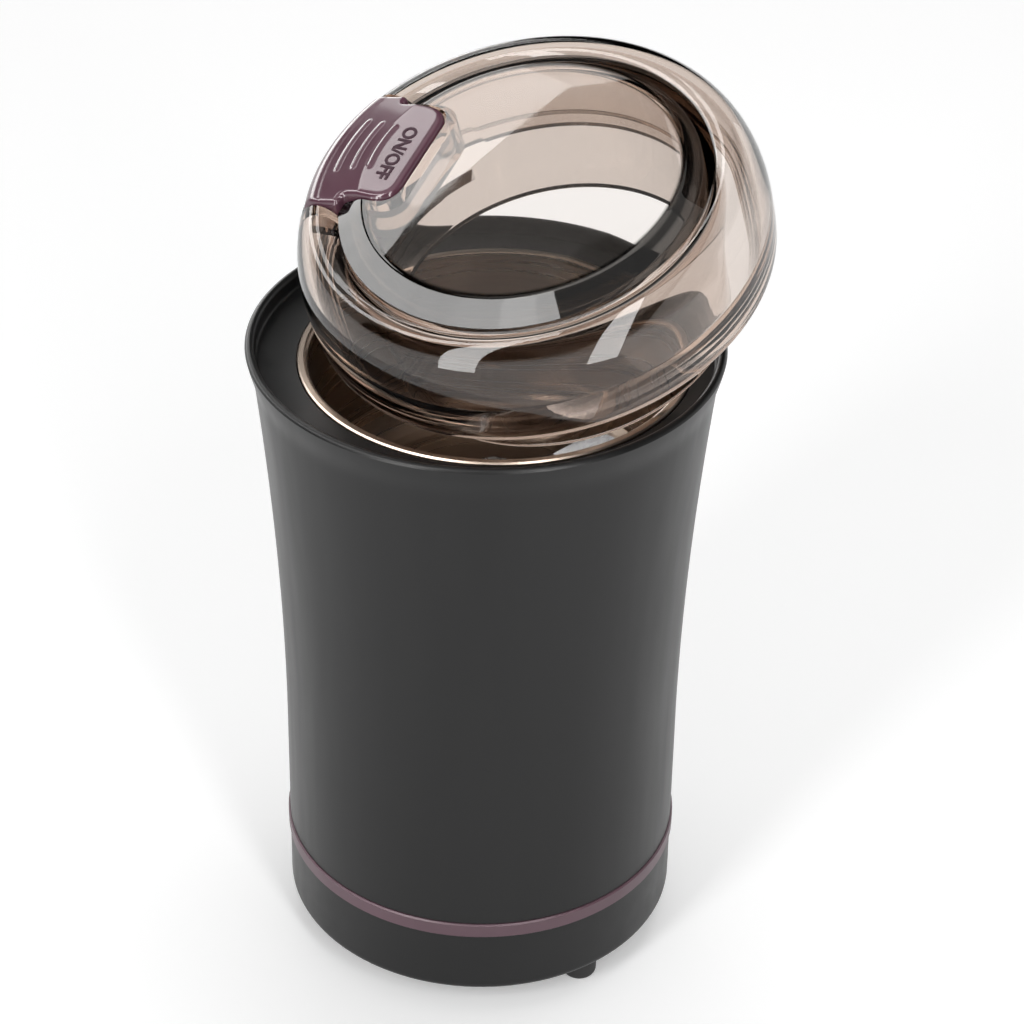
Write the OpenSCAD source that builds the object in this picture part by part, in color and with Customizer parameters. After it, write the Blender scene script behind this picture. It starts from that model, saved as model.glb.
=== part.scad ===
// Electric coffee grinder: a flared motor body with a steel grinding bowl, and a clear lid with a switch.
// The lid is lifted off and leans on the rim. Origin on the body's axis, on the surface under the feet.

/* [Body] */
// Height of the body from its underside to the rim
body_h = 136; // [128:1:146]
// Distance from the bowl's wall to the outside of the straight lower part
waist_room = 4.3; // [4:0.1:6]
// Height above the underside at which the flare starts
flare_start = 45; // [35:1:60]
// What the flare adds to the radius at the rim
flare_gain = 5.6; // [4.5:0.1:8]
// How sharply the flare sets in
flare_power = 1.9; // [1.4:0.1:2.6]
// Wall of the body
wall = 2.2; // [1.6:0.1:2.8]
// Height of the bead below the rim
bead_h = 8; // [4:0.5:12]
// How far the bead stands out
bead_out = 0.9; // [0.3:0.1:1.5]
// Width of the rim's top
rim_w = 2; // [1.4:0.1:2.6]
// Depth from the rim to the ledge inside it
ledge_depth = 3.6; // [2.5:0.1:5]
// Thickness of the deck that the ledge belongs to
deck_t = 3; // [2.4:0.1:4]

/* [Base] */
// Height of the base cap
base_h = 15; // [13:0.5:18]
// Height of the coloured ring between base and body
accent_h = 3.4; // [2:0.1:6]
// How far the coloured ring stands out
accent_out = 0.4; // [0:0.1:1]
// Floor of the base cap
floor_t = 2.6; // [2:0.1:3.4]
// Rounding of the base's lower edge
base_round = 1.6; // [0.5:0.1:2.2]
// Height of the feet
foot_h = 6; // [3:0.5:8]
// Radius of a foot
foot_r = 3.7; // [3:0.1:4.5]
// Distance of the feet from the axis
foot_ring_r = 35.6; // [32:0.2:36]
// Direction of the first foot
foot_az = -52; // [-60:1:-44]
// Radius of a base screw's shank
base_screw_r = 1.5; // [1.2:0.1:1.8]
// Distance of the base screws from the axis
base_screw_ring_r = 34; // [32:0.5:35]
// Width of a cooling slot
vent_w = 2.4; // [1.5:0.1:3]
// Distance between cooling slots
vent_step = 5; // [4:0.2:6]
// Radius of the cord inlet's bore
inlet_r = 2.9; // [2:0.1:3.4]

/* [Bowl] */
// Inner radius of the bowl
bowl_r = 37.2; // [36.8:0.1:37.6]
// Depth of the bowl
bowl_depth = 36; // [32:1:40]
// Sheet thickness of the bowl
bowl_t = 0.8; // [0.5:0.1:1]
// Width of the bowl's lip
lip_w = 2.1; // [1.8:0.1:2.6]
// How far the lip stands above the ledge
lip_up = 0.5; // [0.3:0.1:1]
// Rounding of the bowl's bottom corner
bowl_corner = 10; // [6:0.5:14]
// Distance of the bowl's axis from the body's axis
bowl_shift = 2.2; // [1.6:0.1:2.8]
// Radius of the turn from the bowl's wall to its lip
lip_turn = 1; // [0.9:0.1:1.3]
// Thickness of the gasket under the lip
gasket_t = 1.2; // [0.8:0.1:1.6]

/* [Motor] */
// Radius of the motor shaft
shaft_r = 3; // [2.5:0.1:3.5]
// Radius of the armature
armature_r = 13.8; // [12:0.2:15]
// Height of the lamination stack
stack_h = 22; // [18:1:26]
// Outer radius of the lamination stack
stack_r = 27; // [25:0.5:29]
// Air gap between armature and stack
air_gap = 0.5; // [0.4:0.1:1]
// Radius of the commutator
commutator_r = 9; // [7:0.5:10]
// Radius of the cooling fan
fan_r = 25; // [20:0.5:27]
// Number of fan blades
fan_blades = 8; // [5:1:12]
// Length of the grinding blade from tip to tip
blade_len = 58; // [48:1:62]
// Width of the grinding blade
blade_w = 9; // [7:0.5:11]
// Thickness of the grinding blade
blade_t = 1.5; // [1:0.1:2]
// Slope of the blade's bent tips
blade_bend = 18; // [8:1:25]

/* [Lid] */
// How far the dome's lower edge, which stands on the rim, lies outside the rim's inner edge
lid_stand = 0.6; // [0.3:0.1:1.2]
// How far the dome swells out past its lower edge
lid_swell = 0.4; // [0.2:0.1:1.2]
// Height of the lid's dome from its lower edge to its ring
lid_h = 20.9; // [18:0.1:22]
// Depth of the widest part below the ring
lid_bulge = 13.6; // [12:0.2:15]
// Distance of the dome's crest from its widest part
crest_in = 7; // [6:0.1:8]
// How far the crest stands above the ring
crest_up = 1; // [0.5:0.1:1.5]
// Distance of the dome's axis from the ring's axis, towards the button
dome_x = 1; // [0:0.1:1.6]
// Gap between the rim's inner edge and the spigot that drops inside it
spigot_gap = 1.6; // [1.4:0.1:2.2]
// Depth of the spigot below the dome's edge
spigot_h = 2.4; // [1.5:0.1:3]
// Wall of the lid
lid_wall = 2.2; // [1.8:0.1:2.6]
// Distance of the ring round the lid's raised top from the dome's crest
ring_in = 2.9; // [2.4:0.1:3.2]
// Height of the raised top above the ring
lid_top_h = 2.8; // [2:0.1:4]
// Width of the sloping shoulder of the raised top
lid_shoulder = 5.3; // [4:0.1:7]
// Gap between the bowl's wall and the skirt that reaches into the bowl
skirt_gap = 1.2; // [1:0.1:2]
// Depth of the skirt below the ring
skirt_h = 35; // [30:0.5:38]
// Lean of the lid
lid_lean = 19.4; // [19:0.1:20]
// Direction in which the lid leans
lid_heading = 230.6; // [229:0.2:232]
// Place of the centre of the skirt's lower end, from the body's axis and up from the rim
lid_at = [14.58, 8.57, 1.27];

/* [Switch] */
// Direction of the button in the lid
button_az = 153; // [146:1:158]
// Half of the button's width at the lid's edge
button_wide = 15.6; // [14:0.1:17]
// Half of the button's width on the lid's top
button_narrow = 13.2; // [11:0.1:14]
// Distance of the button's inner end from the lid's axis
button_in = 22.4; // [20:0.2:25]
// Distance at which the button widens
button_step = 33.6; // [32:0.2:36]
// Travel of the button
button_travel = 2.5; // [1.5:0.1:3]
// How far the button stands above the lid's raised top
button_up = 0.8; // [0.3:0.1:1.5]
// Radius of the push rod below the button
rod_r = 1.7; // [1.4:0.1:2]
// Radius of the switch plunger in the ledge
plunger_r = 1.6; // [1.3:0.1:1.8]
// Width of the ledge between the bowl's lip and the plunger
plunger_gap = 0.7; // [0.5:0.1:0.9]
// Travel of the plunger
plunger_travel = 2.2; // [1.5:0.1:2.5]
// Direction of the switch in the body
switch_az = 148; // [140:1:156]
// Wire radius of the springs
spring_wire = 0.35; // [0.25:0.05:0.45]

/* [Hidden] */
$fn = 96;
// Gap between pieces of one body that slip together
slip = 0.1;
// Radial running clearance of shafts and rods
running = 0.05;
// Gap between pieces that move past each other
clear = 0.4;
// What a cut reaches past the face it opens
over = 1;

under_z = foot_h;
ring_z = under_z + base_h;
shell_z = ring_z + accent_h;
rim_z = under_z + body_h;
ledge_z = rim_z - ledge_depth;
lip_z = ledge_z + lip_up;
bowl_z = lip_z - bowl_depth;
bowl_x = bowl_shift * cos(switch_az + 180);
bowl_y = bowl_shift * sin(switch_az + 180);

// Radii from the bowl outwards to the body, and from the rim inwards over the lid
lip_r = bowl_r + lip_w;
plunger_ring_r = lip_r - bowl_shift + plunger_r + plunger_gap;
waist_r = bowl_r + waist_room;
rim_r = waist_r + flare_gain + bead_out;
rim_in_r = rim_r - rim_w;
lid_edge_r = rim_in_r + lid_stand;
spigot_r = rim_in_r - spigot_gap;
lid_r = lid_edge_r + lid_swell;
crest_r = lid_r - crest_in;
lid_ring_r = crest_r - ring_in;
skirt_r = bowl_r - skirt_gap;

// Levels of the motor: the bracket hangs below the bowl, and the rest stands over the base's floor
bracket_t = 3;
hub_h = 10;
hub_r = 16;
hub_z = bowl_z - bowl_t;
bracket_z = hub_z - hub_h - bracket_t;
fan_h = 8;
fan_room = 5.5;
fan_z = under_z + floor_t + fan_room;
shaft_end = 2;
shaft_bottom = fan_z - shaft_end;
carrier_room = 10;
carrier_z = fan_z + fan_h + carrier_room;
lower_leg_h = 16;
stack_z = carrier_z + bracket_t + lower_leg_h;
leg_h = bracket_z - stack_z - stack_h;
leg_r = 4;
leg_ring_r = 21.5;
bolt_r = 1.6;
bearing_r = 6.5;
bearing_h = 8;
coil_in_r = armature_r + air_gap + 1.6;
coil_out_r = coil_in_r + 6;
coil_span = 104;
coil_end = 6;
brush_w = 5;
brush_h = 6;
brush_len = 10;
commutator_h = 7;
commutator_z = carrier_z + bracket_t + 1.5;
holder_wall = 1.2;
mount_ring_r = 36;
mount_boss_r = 3.4;
mount_boss_h = 8;
grommet_t = 1.6;
blade_z = bowl_z + 4.2;
nut_h = 3;
crown_h = 1.4;
seal_r = 6;
bowl_hub_r = 10;
bowl_hub_h = 2.4;
bowl_screw_ring_r = 12.8;
bowl_screw_len = 7;
step_r = shaft_r - 0.8;

// The base's cord inlet and screws
inlet_len = 6.4;
inlet_wall = 1.4;
inlet_rim = 1;
inlet_rim_t = 1.2;
inlet_proud = 1.4;
screw_first = 30;
boss_h = 14;
screw_bite = 10;
screw_seat = floor_t + 3;
foot_stem_r = foot_r - 1.2;
foot_round = 1.6;
mount_first = 90;

// The switch and its plunger below the ledge
guide_r = plunger_r + 1.3;
guide_h = 8;
plunger_sink = 0.6;
plunger_len = 30;
plunger_z = ledge_z - plunger_sink - plunger_len;
collar_r = plunger_r + 0.8;
collar_h = 1.2;
collar_z = ledge_z - deck_t - guide_h - collar_h - slip;
plate_t = 1;
plate_z = collar_z - 10;
nib_h = 0.8;
switch_h = 9;
switch_w = 13;
switch_t = 5.6;
switch_in = 1.8;
switch_z = plunger_z - plunger_travel - clear - nib_h - switch_h;
switch_screw_r = 0.8;

// The lid's own frame: origin on its ring's axis, in the ring's plane, with +X towards the button
rod_x = plunger_ring_r + bowl_shift;
pocket_floor = -5.4;
pocket_wall = 1.4;
well_r = rod_r + 2.9;
well_floor = -13;
button_low = pocket_floor + button_travel + clear;
button_wall = 1.4;
cap_top = lid_top_h + button_up;
cap_slope = 8.5;
cap_flat_r = crest_r - cap_slope;
cap_edge_r = lid_r + clear;
cap_crest = crest_up + 0.5;
ridge_in = cap_flat_r - 1;
ridge_gap = 3.65;
rod_seat = 1.8;
rod_top = cap_z(rod_x - dome_x) - button_wall - rod_seat;
boss_low = rod_top - 2.2;
rod_gap = 0.3;
rod_low = rod_gap - plunger_sink - ledge_depth - lid_h;
rod_guide_low = 1.6 - lid_h;
curve_steps = 10;

function flare(z) = z <= flare_start ? 0 : flare_gain * pow((z - flare_start) / (body_h - flare_start),
    flare_power);
function ease(t) = t * t * (3 - 2 * t);
function bead(z) = z <= body_h - bead_h ? 0 : bead_out * ease((z - body_h + bead_h) / bead_h);
function body_r(z) = waist_r + flare(z);
function steps(from, to, n) = [for (i = [0:n]) from + (to - from) * i / n];
// Points of an elliptic arc about a centre, from one angle to another
function arc(centre, rx, ry, from, to, n = curve_steps) =
    [for (a = steps(from, to, n)) [centre[0] + rx * cos(a), centre[1] + ry * sin(a)]];

module at_bowl() {
    translate([bowl_x, bowl_y, 0]) children();
}

module at_switch() {
    rotate(switch_az) translate([plunger_ring_r, 0, 0]) children();
}

module at_lid() {
    translate([lid_at[0], lid_at[1], rim_z + lid_at[2]])
        rotate([0, 0, lid_heading])
        rotate([0, lid_lean, 0])
        rotate([0, 0, button_az - lid_heading])
        translate([0, 0, skirt_h])
        children();
}

module around(count, r, first = 0) {
    for (i = [0:count - 1])
        rotate(first + 360 * i / count) translate([r, 0, 0]) children();
}

module pipe(outer, inner, h) {
    difference() {
        cylinder(r = outer, h = h);
        translate([0, 0, -over]) cylinder(r = inner, h = h + 2 * over);
    }
}

// A pan-head screw whose head's seat is at the origin, with the shank going up
module screw(r, length) {
    translate([0, 0, -1.2 * r]) cylinder(r = 1.9 * r, h = 1.2 * r);
    cylinder(r = r, h = length);
}

// A coil spring as one tube from z 0 up
function coil_points(r, wire, h, turns, per_turn) =
    [for (i = [0:turns * per_turn])
        let (a = 360 * i / per_turn)
        [r * cos(a), r * sin(a), wire + (h - 2 * wire) * i / (turns * per_turn)]];
function coil_gap(points, wire, per_turn) =
    min([for (i = [0:len(points) - 1 - per_turn]) norm(points[i + per_turn] - points[i])]) - 2 * wire;

module coil_spring(r, wire, h, turns, per_turn = 12, sides = 6) {
    path = coil_points(r, wire, h, turns, per_turn);
    echo(least_gap_between_curls = coil_gap(path, wire, per_turn));
    last = len(path) - 1;
    points = [for (i = [0:last]) for (k = [0:sides - 1])
        let (a = 360 * i / per_turn, b = 360 * k / sides)
        path[i] + wire * [cos(b) * cos(a), cos(b) * sin(a), sin(b)]];
    walls = [for (i = [0:last - 1]) for (k = [0:sides - 1])
        let (n = (k + 1) % sides, p = i * sides, q = p + sides)
        each [[p + k, q + k, q + n], [p + k, q + n, p + n]]];
    start = [for (k = [1:sides - 2]) [0, k, k + 1]];
    end = [for (k = [1:sides - 2]) [last * sides, last * sides + k + 1, last * sides + k]];
    polyhedron(points, concat(walls, start, end));
}

// Body shell: flared wall, beaded rim and the deck with the ledge
module body_shell() {
    outer = [for (z = steps(shell_z - under_z, body_h - rim_w / 2, 24)) [body_r(z) + bead(z), z + under_z]];
    rim = arc([rim_r - rim_w / 2, rim_z - rim_w / 2], rim_w / 2, rim_w / 2, 20, 180, 8);
    inner = [for (z = steps(ledge_z - deck_t - under_z, shell_z - under_z, 16)) [body_r(z) - wall,
        z + under_z]];
    deck = [[rim_in_r, ledge_z], [0, ledge_z], [0, ledge_z - deck_t]];
    color([0.16, 0.16, 0.16])
    difference() {
        union() {
            rotate_extrude() polygon(concat(outer, rim, deck, inner));
            around(3, base_screw_ring_r, screw_first) screw_boss(shell_z, boss_h, base_screw_ring_r);
            around(3, mount_ring_r, mount_first)
                screw_boss(bracket_z + bracket_t + grommet_t, mount_boss_h, mount_ring_r);
            at_switch() translate([0, 0, ledge_z - deck_t - guide_h])
                cylinder(r = guide_r, h = guide_h + deck_t / 2);
            switch_pad();
        }
        at_bowl() translate([0, 0, lip_z - bowl_t - gasket_t])
            cylinder(r = lip_r + slip, h = deck_t + ledge_depth);
        at_bowl() translate([0, 0, ledge_z - deck_t - over])
            cylinder(r = bowl_r + bowl_t + slip, h = deck_t + 2 * over);
        at_switch() translate([0, 0, ledge_z - deck_t - guide_h - over])
            cylinder(r = plunger_r + running, h = guide_h + deck_t + 2 * over);
        at_switch() translate([0, 0, plate_z - over])
            cylinder(r = plunger_r + running, h = plate_t + 2 * over);
        around(3, base_screw_ring_r, screw_first) translate([0, 0, shell_z - over])
            cylinder(r = base_screw_r, h = boss_h - 2 + over);
        around(3, mount_ring_r, mount_first) translate([0, 0, bracket_z])
            cylinder(r = base_screw_r, h = bracket_t + grommet_t + mount_boss_h - 1);
        switch_screw_places() cylinder(r = switch_screw_r, h = switch_t + 1.6);
    }
}

// A boss on a rib that joins it to the body's wall, at a ring's radius from the axis
module screw_boss(z, h, ring_r) {
    reach = body_r(z - under_z) - wall / 2 - ring_r;
    translate([0, 0, z]) cylinder(r = mount_boss_r, h = h);
    translate([0, -1, z]) cube([reach, 2, h]);
}

// The pad inside the wall that carries the switch, and the shelf that the plunger's spring stands on
module switch_pad() {
    pad_x = switch_t / 2 - switch_in;
    wall_x = body_r(switch_z - under_z) - wall / 2 - plunger_ring_r;
    shelf_x = body_r(plate_z - under_z) - wall / 2 - plunger_ring_r;
    at_switch() translate([pad_x, -switch_w / 2, switch_z]) cube([wall_x - pad_x, switch_w, switch_h]);
    at_switch() translate([0, 0, plate_z]) {
        cylinder(r = guide_r, h = plate_t);
        translate([0, -guide_r, 0]) cube([shelf_x, 2 * guide_r, plate_t]);
    }
}

module switch_screw_places() {
    for (side = [-1, 1])
        at_switch() translate([-switch_t / 2 - switch_in, side * switch_w / 3.4, switch_z + switch_h / 3])
            rotate([0, 90, 0]) children();
}

// Coloured ring between base and body
module accent_ring() {
    edge_r = waist_r + accent_out;
    bevel = 0.3;
    color([0.36, 0.2, 0.27])
    translate([0, 0, ring_z]) rotate_extrude()
        polygon([[waist_r - wall, 0], [edge_r - bevel, 0], [edge_r, bevel],
                 [edge_r, accent_h - bevel], [edge_r - bevel, accent_h], [waist_r - wall, accent_h]]);
}

// Base cap: rounded dish with a tongue into the body, screw towers, cooling slots, and sockets for the feet
module base_cap() {
    tongue_r = waist_r - wall - slip;
    tongue_h = accent_h + 4;
    tongue_in = tongue_r - 1.6;
    boss_room = mount_boss_r + 2 * slip;
    vent_in = 9;
    foot = arc([waist_r - base_round, under_z + base_round], base_round, base_round, -90, 0, 6);
    color([0.17, 0.17, 0.17])
    difference() {
        union() {
            rotate_extrude() polygon(concat([[0, under_z]], foot,
                [[waist_r, ring_z], [tongue_r, ring_z], [tongue_r, ring_z + tongue_h], [tongue_in,
                    ring_z + tongue_h],
                 [tongue_in, under_z + floor_t], [0, under_z + floor_t]]));
            around(3, base_screw_ring_r, screw_first) translate([0, 0, under_z])
                cylinder(r = mount_boss_r, h = shell_z - slip - under_z);
        }
        around(3, base_screw_ring_r, screw_first) translate([0, 0, under_z - over])
            cylinder(r = base_screw_r + slip, h = shell_z - under_z + 2 * over);
        around(3, base_screw_ring_r, screw_first) translate([0, 0, under_z - over])
            cylinder(r = 2 * base_screw_r, h = screw_seat + over);
        // Room for the bosses of the body beside the tongue
        around(3, base_screw_ring_r, screw_first) translate([-boss_room, -boss_room, shell_z - slip])
            cube([tongue_r + over - base_screw_ring_r + boss_room, 2 * boss_room, tongue_h]);
        around(3, foot_ring_r, foot_az) translate([0, 0, under_z - over])
            cylinder(r = foot_stem_r, h = floor_t + 2 * over);
        for (row = [0:3], side = [-1, 1])
            translate([side * (vent_in + row * vent_step) - vent_w / 2, -vent_half(row), under_z - over])
                cube([vent_w, 2 * vent_half(row), floor_t + 2 * over]);
        at_inlet() translate([0, 0, -over]) cylinder(r = inlet_r + inlet_wall, h = inlet_len + 2 * over);
    }
}

// Half length of a cooling slot in one of the rows
function vent_half(row) = 18 - 2 * row;

// Rubber feet with a stem pressed into the base's floor
module feet() {
    color([0.07, 0.07, 0.07])
    around(3, foot_ring_r, foot_az)
        rotate_extrude() polygon(concat([[0, 0]], arc([foot_r - foot_round, foot_round], foot_round,
            foot_round, -90, 0, 6),
            [[foot_r, under_z], [foot_stem_r, under_z], [foot_stem_r, under_z + floor_t], [0,
                under_z + floor_t]]));
}

module base_screws() {
    color("silver")
    around(3, base_screw_ring_r, screw_first) translate([0, 0, under_z + screw_seat])
        screw(base_screw_r, shell_z + screw_bite - under_z - screw_seat);
}

// Bush in the base's back wall where the cord goes in
module cord_inlet() {
    color([0.08, 0.08, 0.08])
    at_inlet()
    difference() {
        union() {
            cylinder(r = inlet_r + inlet_wall + inlet_rim, h = inlet_rim_t);
            cylinder(r = inlet_r + inlet_wall, h = inlet_len);
        }
        translate([0, 0, -over]) cylinder(r = inlet_r, h = inlet_len + 2 * over);
    }
}

// The inlet's place, with its outer face at the origin and its bore going inwards along +Z
module at_inlet() {
    translate([0, waist_r + inlet_proud, under_z + base_h / 2]) rotate([90, 0, 0]) children();
}

// Grinding bowl pressed from sheet steel, with a rolled lip and a raised centre
module grinding_bowl() {
    low_r = bowl_r - 0.5;
    inside = concat(
        [[bowl_hub_r - 3, bowl_hub_h], [bowl_hub_r, 0]],
        arc([low_r - bowl_corner, bowl_corner], bowl_corner, bowl_corner, -90, 0, 8),
        arc([bowl_r + lip_turn, bowl_depth - lip_turn], lip_turn, lip_turn, 180, 90, 6));
    outside = concat(
        [[lip_r - 0.3, bowl_depth], [lip_r, bowl_depth - 0.3], [lip_r, bowl_depth - bowl_t]],
        arc([bowl_r + lip_turn, bowl_depth - lip_turn], lip_turn - bowl_t, lip_turn - bowl_t, 90, 180, 4),
        arc([low_r - bowl_corner, bowl_corner], bowl_corner + bowl_t, bowl_corner + bowl_t, 0, -90, 8),
        [[bowl_hub_r, -bowl_t], [bowl_hub_r - 3, bowl_hub_h - bowl_t]]);
    hole = [[seal_r, bowl_hub_h - bowl_t], [seal_r, bowl_hub_h]];
    color([0.75, 0.74, 0.72])
    at_bowl() translate([0, 0, bowl_z])
    difference() {
        rotate_extrude() polygon(concat(hole, inside, outside));
        around(3, bowl_screw_ring_r, screw_first) translate([0, 0, -2 * bowl_t])
            cylinder(r = base_screw_r + slip, h = 4);
    }
}

module bowl_gasket() {
    color([0.3, 0.3, 0.3])
    at_bowl() translate([0, 0, lip_z - bowl_t - gasket_t])
        pipe(lip_r - slip, bowl_r + lip_turn + slip, gasket_t);
}

// Screws that hold the bowl's bottom on the motor bracket
module bowl_screws() {
    color("silver")
    at_bowl() around(3, bowl_screw_ring_r, screw_first) translate([0, 0, bowl_z]) mirror([0, 0, 1])
        screw(base_screw_r, bowl_screw_len);
}

// Rubber seal in the bowl's centre hole
module shaft_seal() {
    top = bowl_hub_h + 0.8;
    low = bowl_hub_h - bowl_t - 0.8;
    color([0.12, 0.12, 0.12])
    at_bowl() translate([0, 0, bowl_z]) rotate_extrude()
        polygon([[shaft_r + running, low], [seal_r - slip, low], [seal_r - slip, bowl_hub_h],
                 [seal_r + 0.8, bowl_hub_h], [seal_r + 0.4, top], [shaft_r + running, top]]);
}

// Upper motor bracket: hub below the bowl, plate, two legs to the stack and three ears to the body
module motor_bracket() {
    color([0.6, 0.61, 0.62])
    difference() {
        union() {
            at_bowl() translate([0, 0, bracket_z]) cylinder(r = stack_r, h = bracket_t);
            at_bowl() translate([0, 0, bracket_z]) cylinder(r = hub_r, h = hub_h + bracket_t);
            at_bowl() around(2, leg_ring_r) translate([0, 0, bracket_z - leg_h])
                cylinder(r = leg_r, h = leg_h + bracket_t / 2);
            around(3, mount_ring_r, mount_first) bracket_ear();
        }
        at_bowl() translate([0, 0, bracket_z - over])
            cylinder(r = shaft_r + 1.5, h = hub_h + bracket_t + 2 * over);
        at_bowl() translate([0, 0, bracket_z - over]) cylinder(r = bearing_r, h = bearing_h + over);
        at_bowl() translate([0, 0, hub_z - 3]) cylinder(r = seal_r + 1, h = 3 + over);
        at_bowl() around(3, bowl_screw_ring_r, screw_first)
            translate([0, 0, bowl_z - bowl_screw_len - slip])
            cylinder(r = base_screw_r, h = bowl_screw_len + over);
        at_bowl() around(2, leg_ring_r) translate([0, 0, bracket_z - leg_h - over])
            cylinder(r = bolt_r, h = leg_h + over);
        around(3, mount_ring_r, mount_first) translate([0, 0, bracket_z - over])
            cylinder(r = grommet_neck_r(), h = bracket_t + 2 * over);
    }
}

function grommet_neck_r() = base_screw_r + 1;

// One ear of the bracket, reaching inwards from its hole to the plate
module bracket_ear() {
    ear_r = mount_boss_r;
    translate([0, 0, bracket_z]) cylinder(r = ear_r, h = bracket_t);
    translate([-mount_ring_r + stack_r - 6, -ear_r, bracket_z])
        cube([mount_ring_r - stack_r + 6, 2 * ear_r, bracket_t]);
}

// Rubber grommets between the bracket's ears and the body's bosses
module mount_grommets() {
    color([0.1, 0.1, 0.1])
    around(3, mount_ring_r, mount_first) translate([0, 0, bracket_z - grommet_t])
    difference() {
        union() {
            cylinder(r = mount_boss_r, h = grommet_t);
            cylinder(r = grommet_neck_r(), h = bracket_t + grommet_t);
            translate([0, 0, bracket_t + grommet_t]) cylinder(r = mount_boss_r, h = grommet_t);
        }
        translate([0, 0, -over]) cylinder(r = base_screw_r, h = bracket_t + 2 * grommet_t + 2 * over);
    }
}

module mount_screws() {
    color("silver")
    around(3, mount_ring_r, mount_first) translate([0, 0, bracket_z - grommet_t])
        screw(base_screw_r, bracket_t + 2 * grommet_t + 5);
}

module bearing_bush() {
    pipe(bearing_r, shaft_r + running, bearing_h);
}

module upper_bearing() {
    color([0.72, 0.55, 0.3])
    at_bowl() translate([0, 0, bracket_z]) bearing_bush();
}

module lower_bearing() {
    color([0.72, 0.55, 0.3])
    at_bowl() translate([0, 0, carrier_z + bracket_t - bearing_h]) bearing_bush();
}

// A sector of a ring centred on the Y axis
module ring_sector(inner, outer, span, h) {
    rotate(90 - span / 2) rotate_extrude(angle = span) translate([inner, 0]) square([outer - inner, h]);
}

// Lamination stack of the field with two pole windows
module field_stack() {
    flat = 2 * (leg_ring_r + leg_r + 0.5);
    color([0.45, 0.46, 0.48])
    at_bowl() translate([0, 0, stack_z])
    difference() {
        intersection() {
            cylinder(r = stack_r, h = stack_h);
            translate([-flat / 2, -flat / 2, 0]) cube([flat, flat, stack_h]);
        }
        translate([0, 0, -over]) cylinder(r = armature_r + air_gap, h = stack_h + 2 * over);
        for (turn = [0, 180])
            rotate(turn) translate([0, 0, -over])
                ring_sector(coil_in_r - slip, coil_out_r + slip, coil_span + 2, stack_h + 2 * over);
        around(2, leg_ring_r) translate([0, 0, -over]) cylinder(r = bolt_r + slip, h = stack_h + 2 * over);
    }
}

module field_coils() {
    color([0.66, 0.33, 0.14])
    at_bowl() for (turn = [0, 180])
        rotate(turn) translate([0, 0, stack_z - coil_end])
            ring_sector(coil_in_r, coil_out_r, coil_span, stack_h + 2 * coil_end);
}

// Lower bracket with the lower bearing and the seats of the brush holders
module brush_carrier() {
    color([0.32, 0.3, 0.27])
    at_bowl()
    difference() {
        union() {
            translate([0, 0, carrier_z]) cylinder(r = stack_r, h = bracket_t);
            translate([0, 0, carrier_z + bracket_t - bearing_h - 1])
                cylinder(r = bearing_r + 2, h = bearing_h);
            around(2, leg_ring_r) translate([0, 0, carrier_z])
                cylinder(r = leg_r, h = bracket_t + lower_leg_h);
        }
        translate([0, 0, carrier_z + bracket_t - bearing_h]) cylinder(r = bearing_r, h = bearing_h + over);
        translate([0, 0, carrier_z + bracket_t - bearing_h - 2]) cylinder(r = shaft_r + 1.5, h = bearing_h);
        around(2, leg_ring_r) translate([0, 0, carrier_z - over])
            cylinder(r = bolt_r + slip, h = bracket_t + lower_leg_h + 2 * over);
        // Air holes in the plate
        for (a = [45, 135, 225, 315]) rotate(a) translate([stack_r - 8, 0, carrier_z - over])
            cylinder(r = 4, h = bracket_t + 2 * over);
    }
}

// Brush holders: open sleeves on the carrier, one on each side of the commutator
module brush_holders() {
    sleeve_in = commutator_r + 2;
    sleeve_len = stack_r - 2 - sleeve_in;
    color([0.55, 0.42, 0.2])
    at_bowl() for (turn = [0, 180])
        rotate(90 + turn) translate([sleeve_in, 0, carrier_z + bracket_t])
        difference() {
            translate([0, -brush_w / 2 - holder_wall, 0])
                cube([sleeve_len, brush_w + 2 * holder_wall, brush_h + 2 * holder_wall]);
            translate([-over, -brush_w / 2 - slip, holder_wall - slip])
                cube([sleeve_len - 1, brush_w + 2 * slip, brush_h + 2 * slip]);
        }
}

module carbon_brushes() {
    brush_in = commutator_r + clear - slip;
    color([0.1, 0.1, 0.11])
    at_bowl() for (turn = [0, 180])
        rotate(90 + turn) translate([brush_in, -brush_w / 2, carrier_z + bracket_t + holder_wall])
            cube([brush_len, brush_w, brush_h]);
}

// Through bolts that clamp carrier, stack and bracket
module motor_bolts() {
    color("silver")
    at_bowl() around(2, leg_ring_r) translate([0, 0, carrier_z])
        screw(bolt_r, bracket_t + lower_leg_h + stack_h + leg_h - 1);
}

// Motor shaft with the thinner end that takes the blade and its nut
module motor_shaft() {
    color([0.7, 0.7, 0.72])
    at_bowl() rotate_extrude()
        polygon([[0, shaft_bottom], [shaft_r - 0.5, shaft_bottom], [shaft_r, shaft_bottom + 0.5],
            [shaft_r, blade_z],
                 [step_r, blade_z], [step_r, blade_z + blade_t + nut_h + 1], [0,
                     blade_z + blade_t + nut_h + 1]]);
}

// Armature core with its slots, and the winding heads at both ends
module armature() {
    slots = 12;
    head_h = 4;
    color([0.5, 0.35, 0.22])
    at_bowl()
    difference() {
        union() {
            translate([0, 0, stack_z]) cylinder(r = armature_r, h = stack_h);
            translate([0, 0, stack_z - head_h]) cylinder(r = armature_r - 2.5, h = stack_h + 2 * head_h);
        }
        translate([0, 0, stack_z - head_h - over])
            cylinder(r = shaft_r, h = stack_h + 2 * head_h + 2 * over);
        around(slots, armature_r - 1) translate([-1, -0.7, stack_z - over])
            cube([4, 1.4, stack_h + 2 * over]);
    }
}

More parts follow.
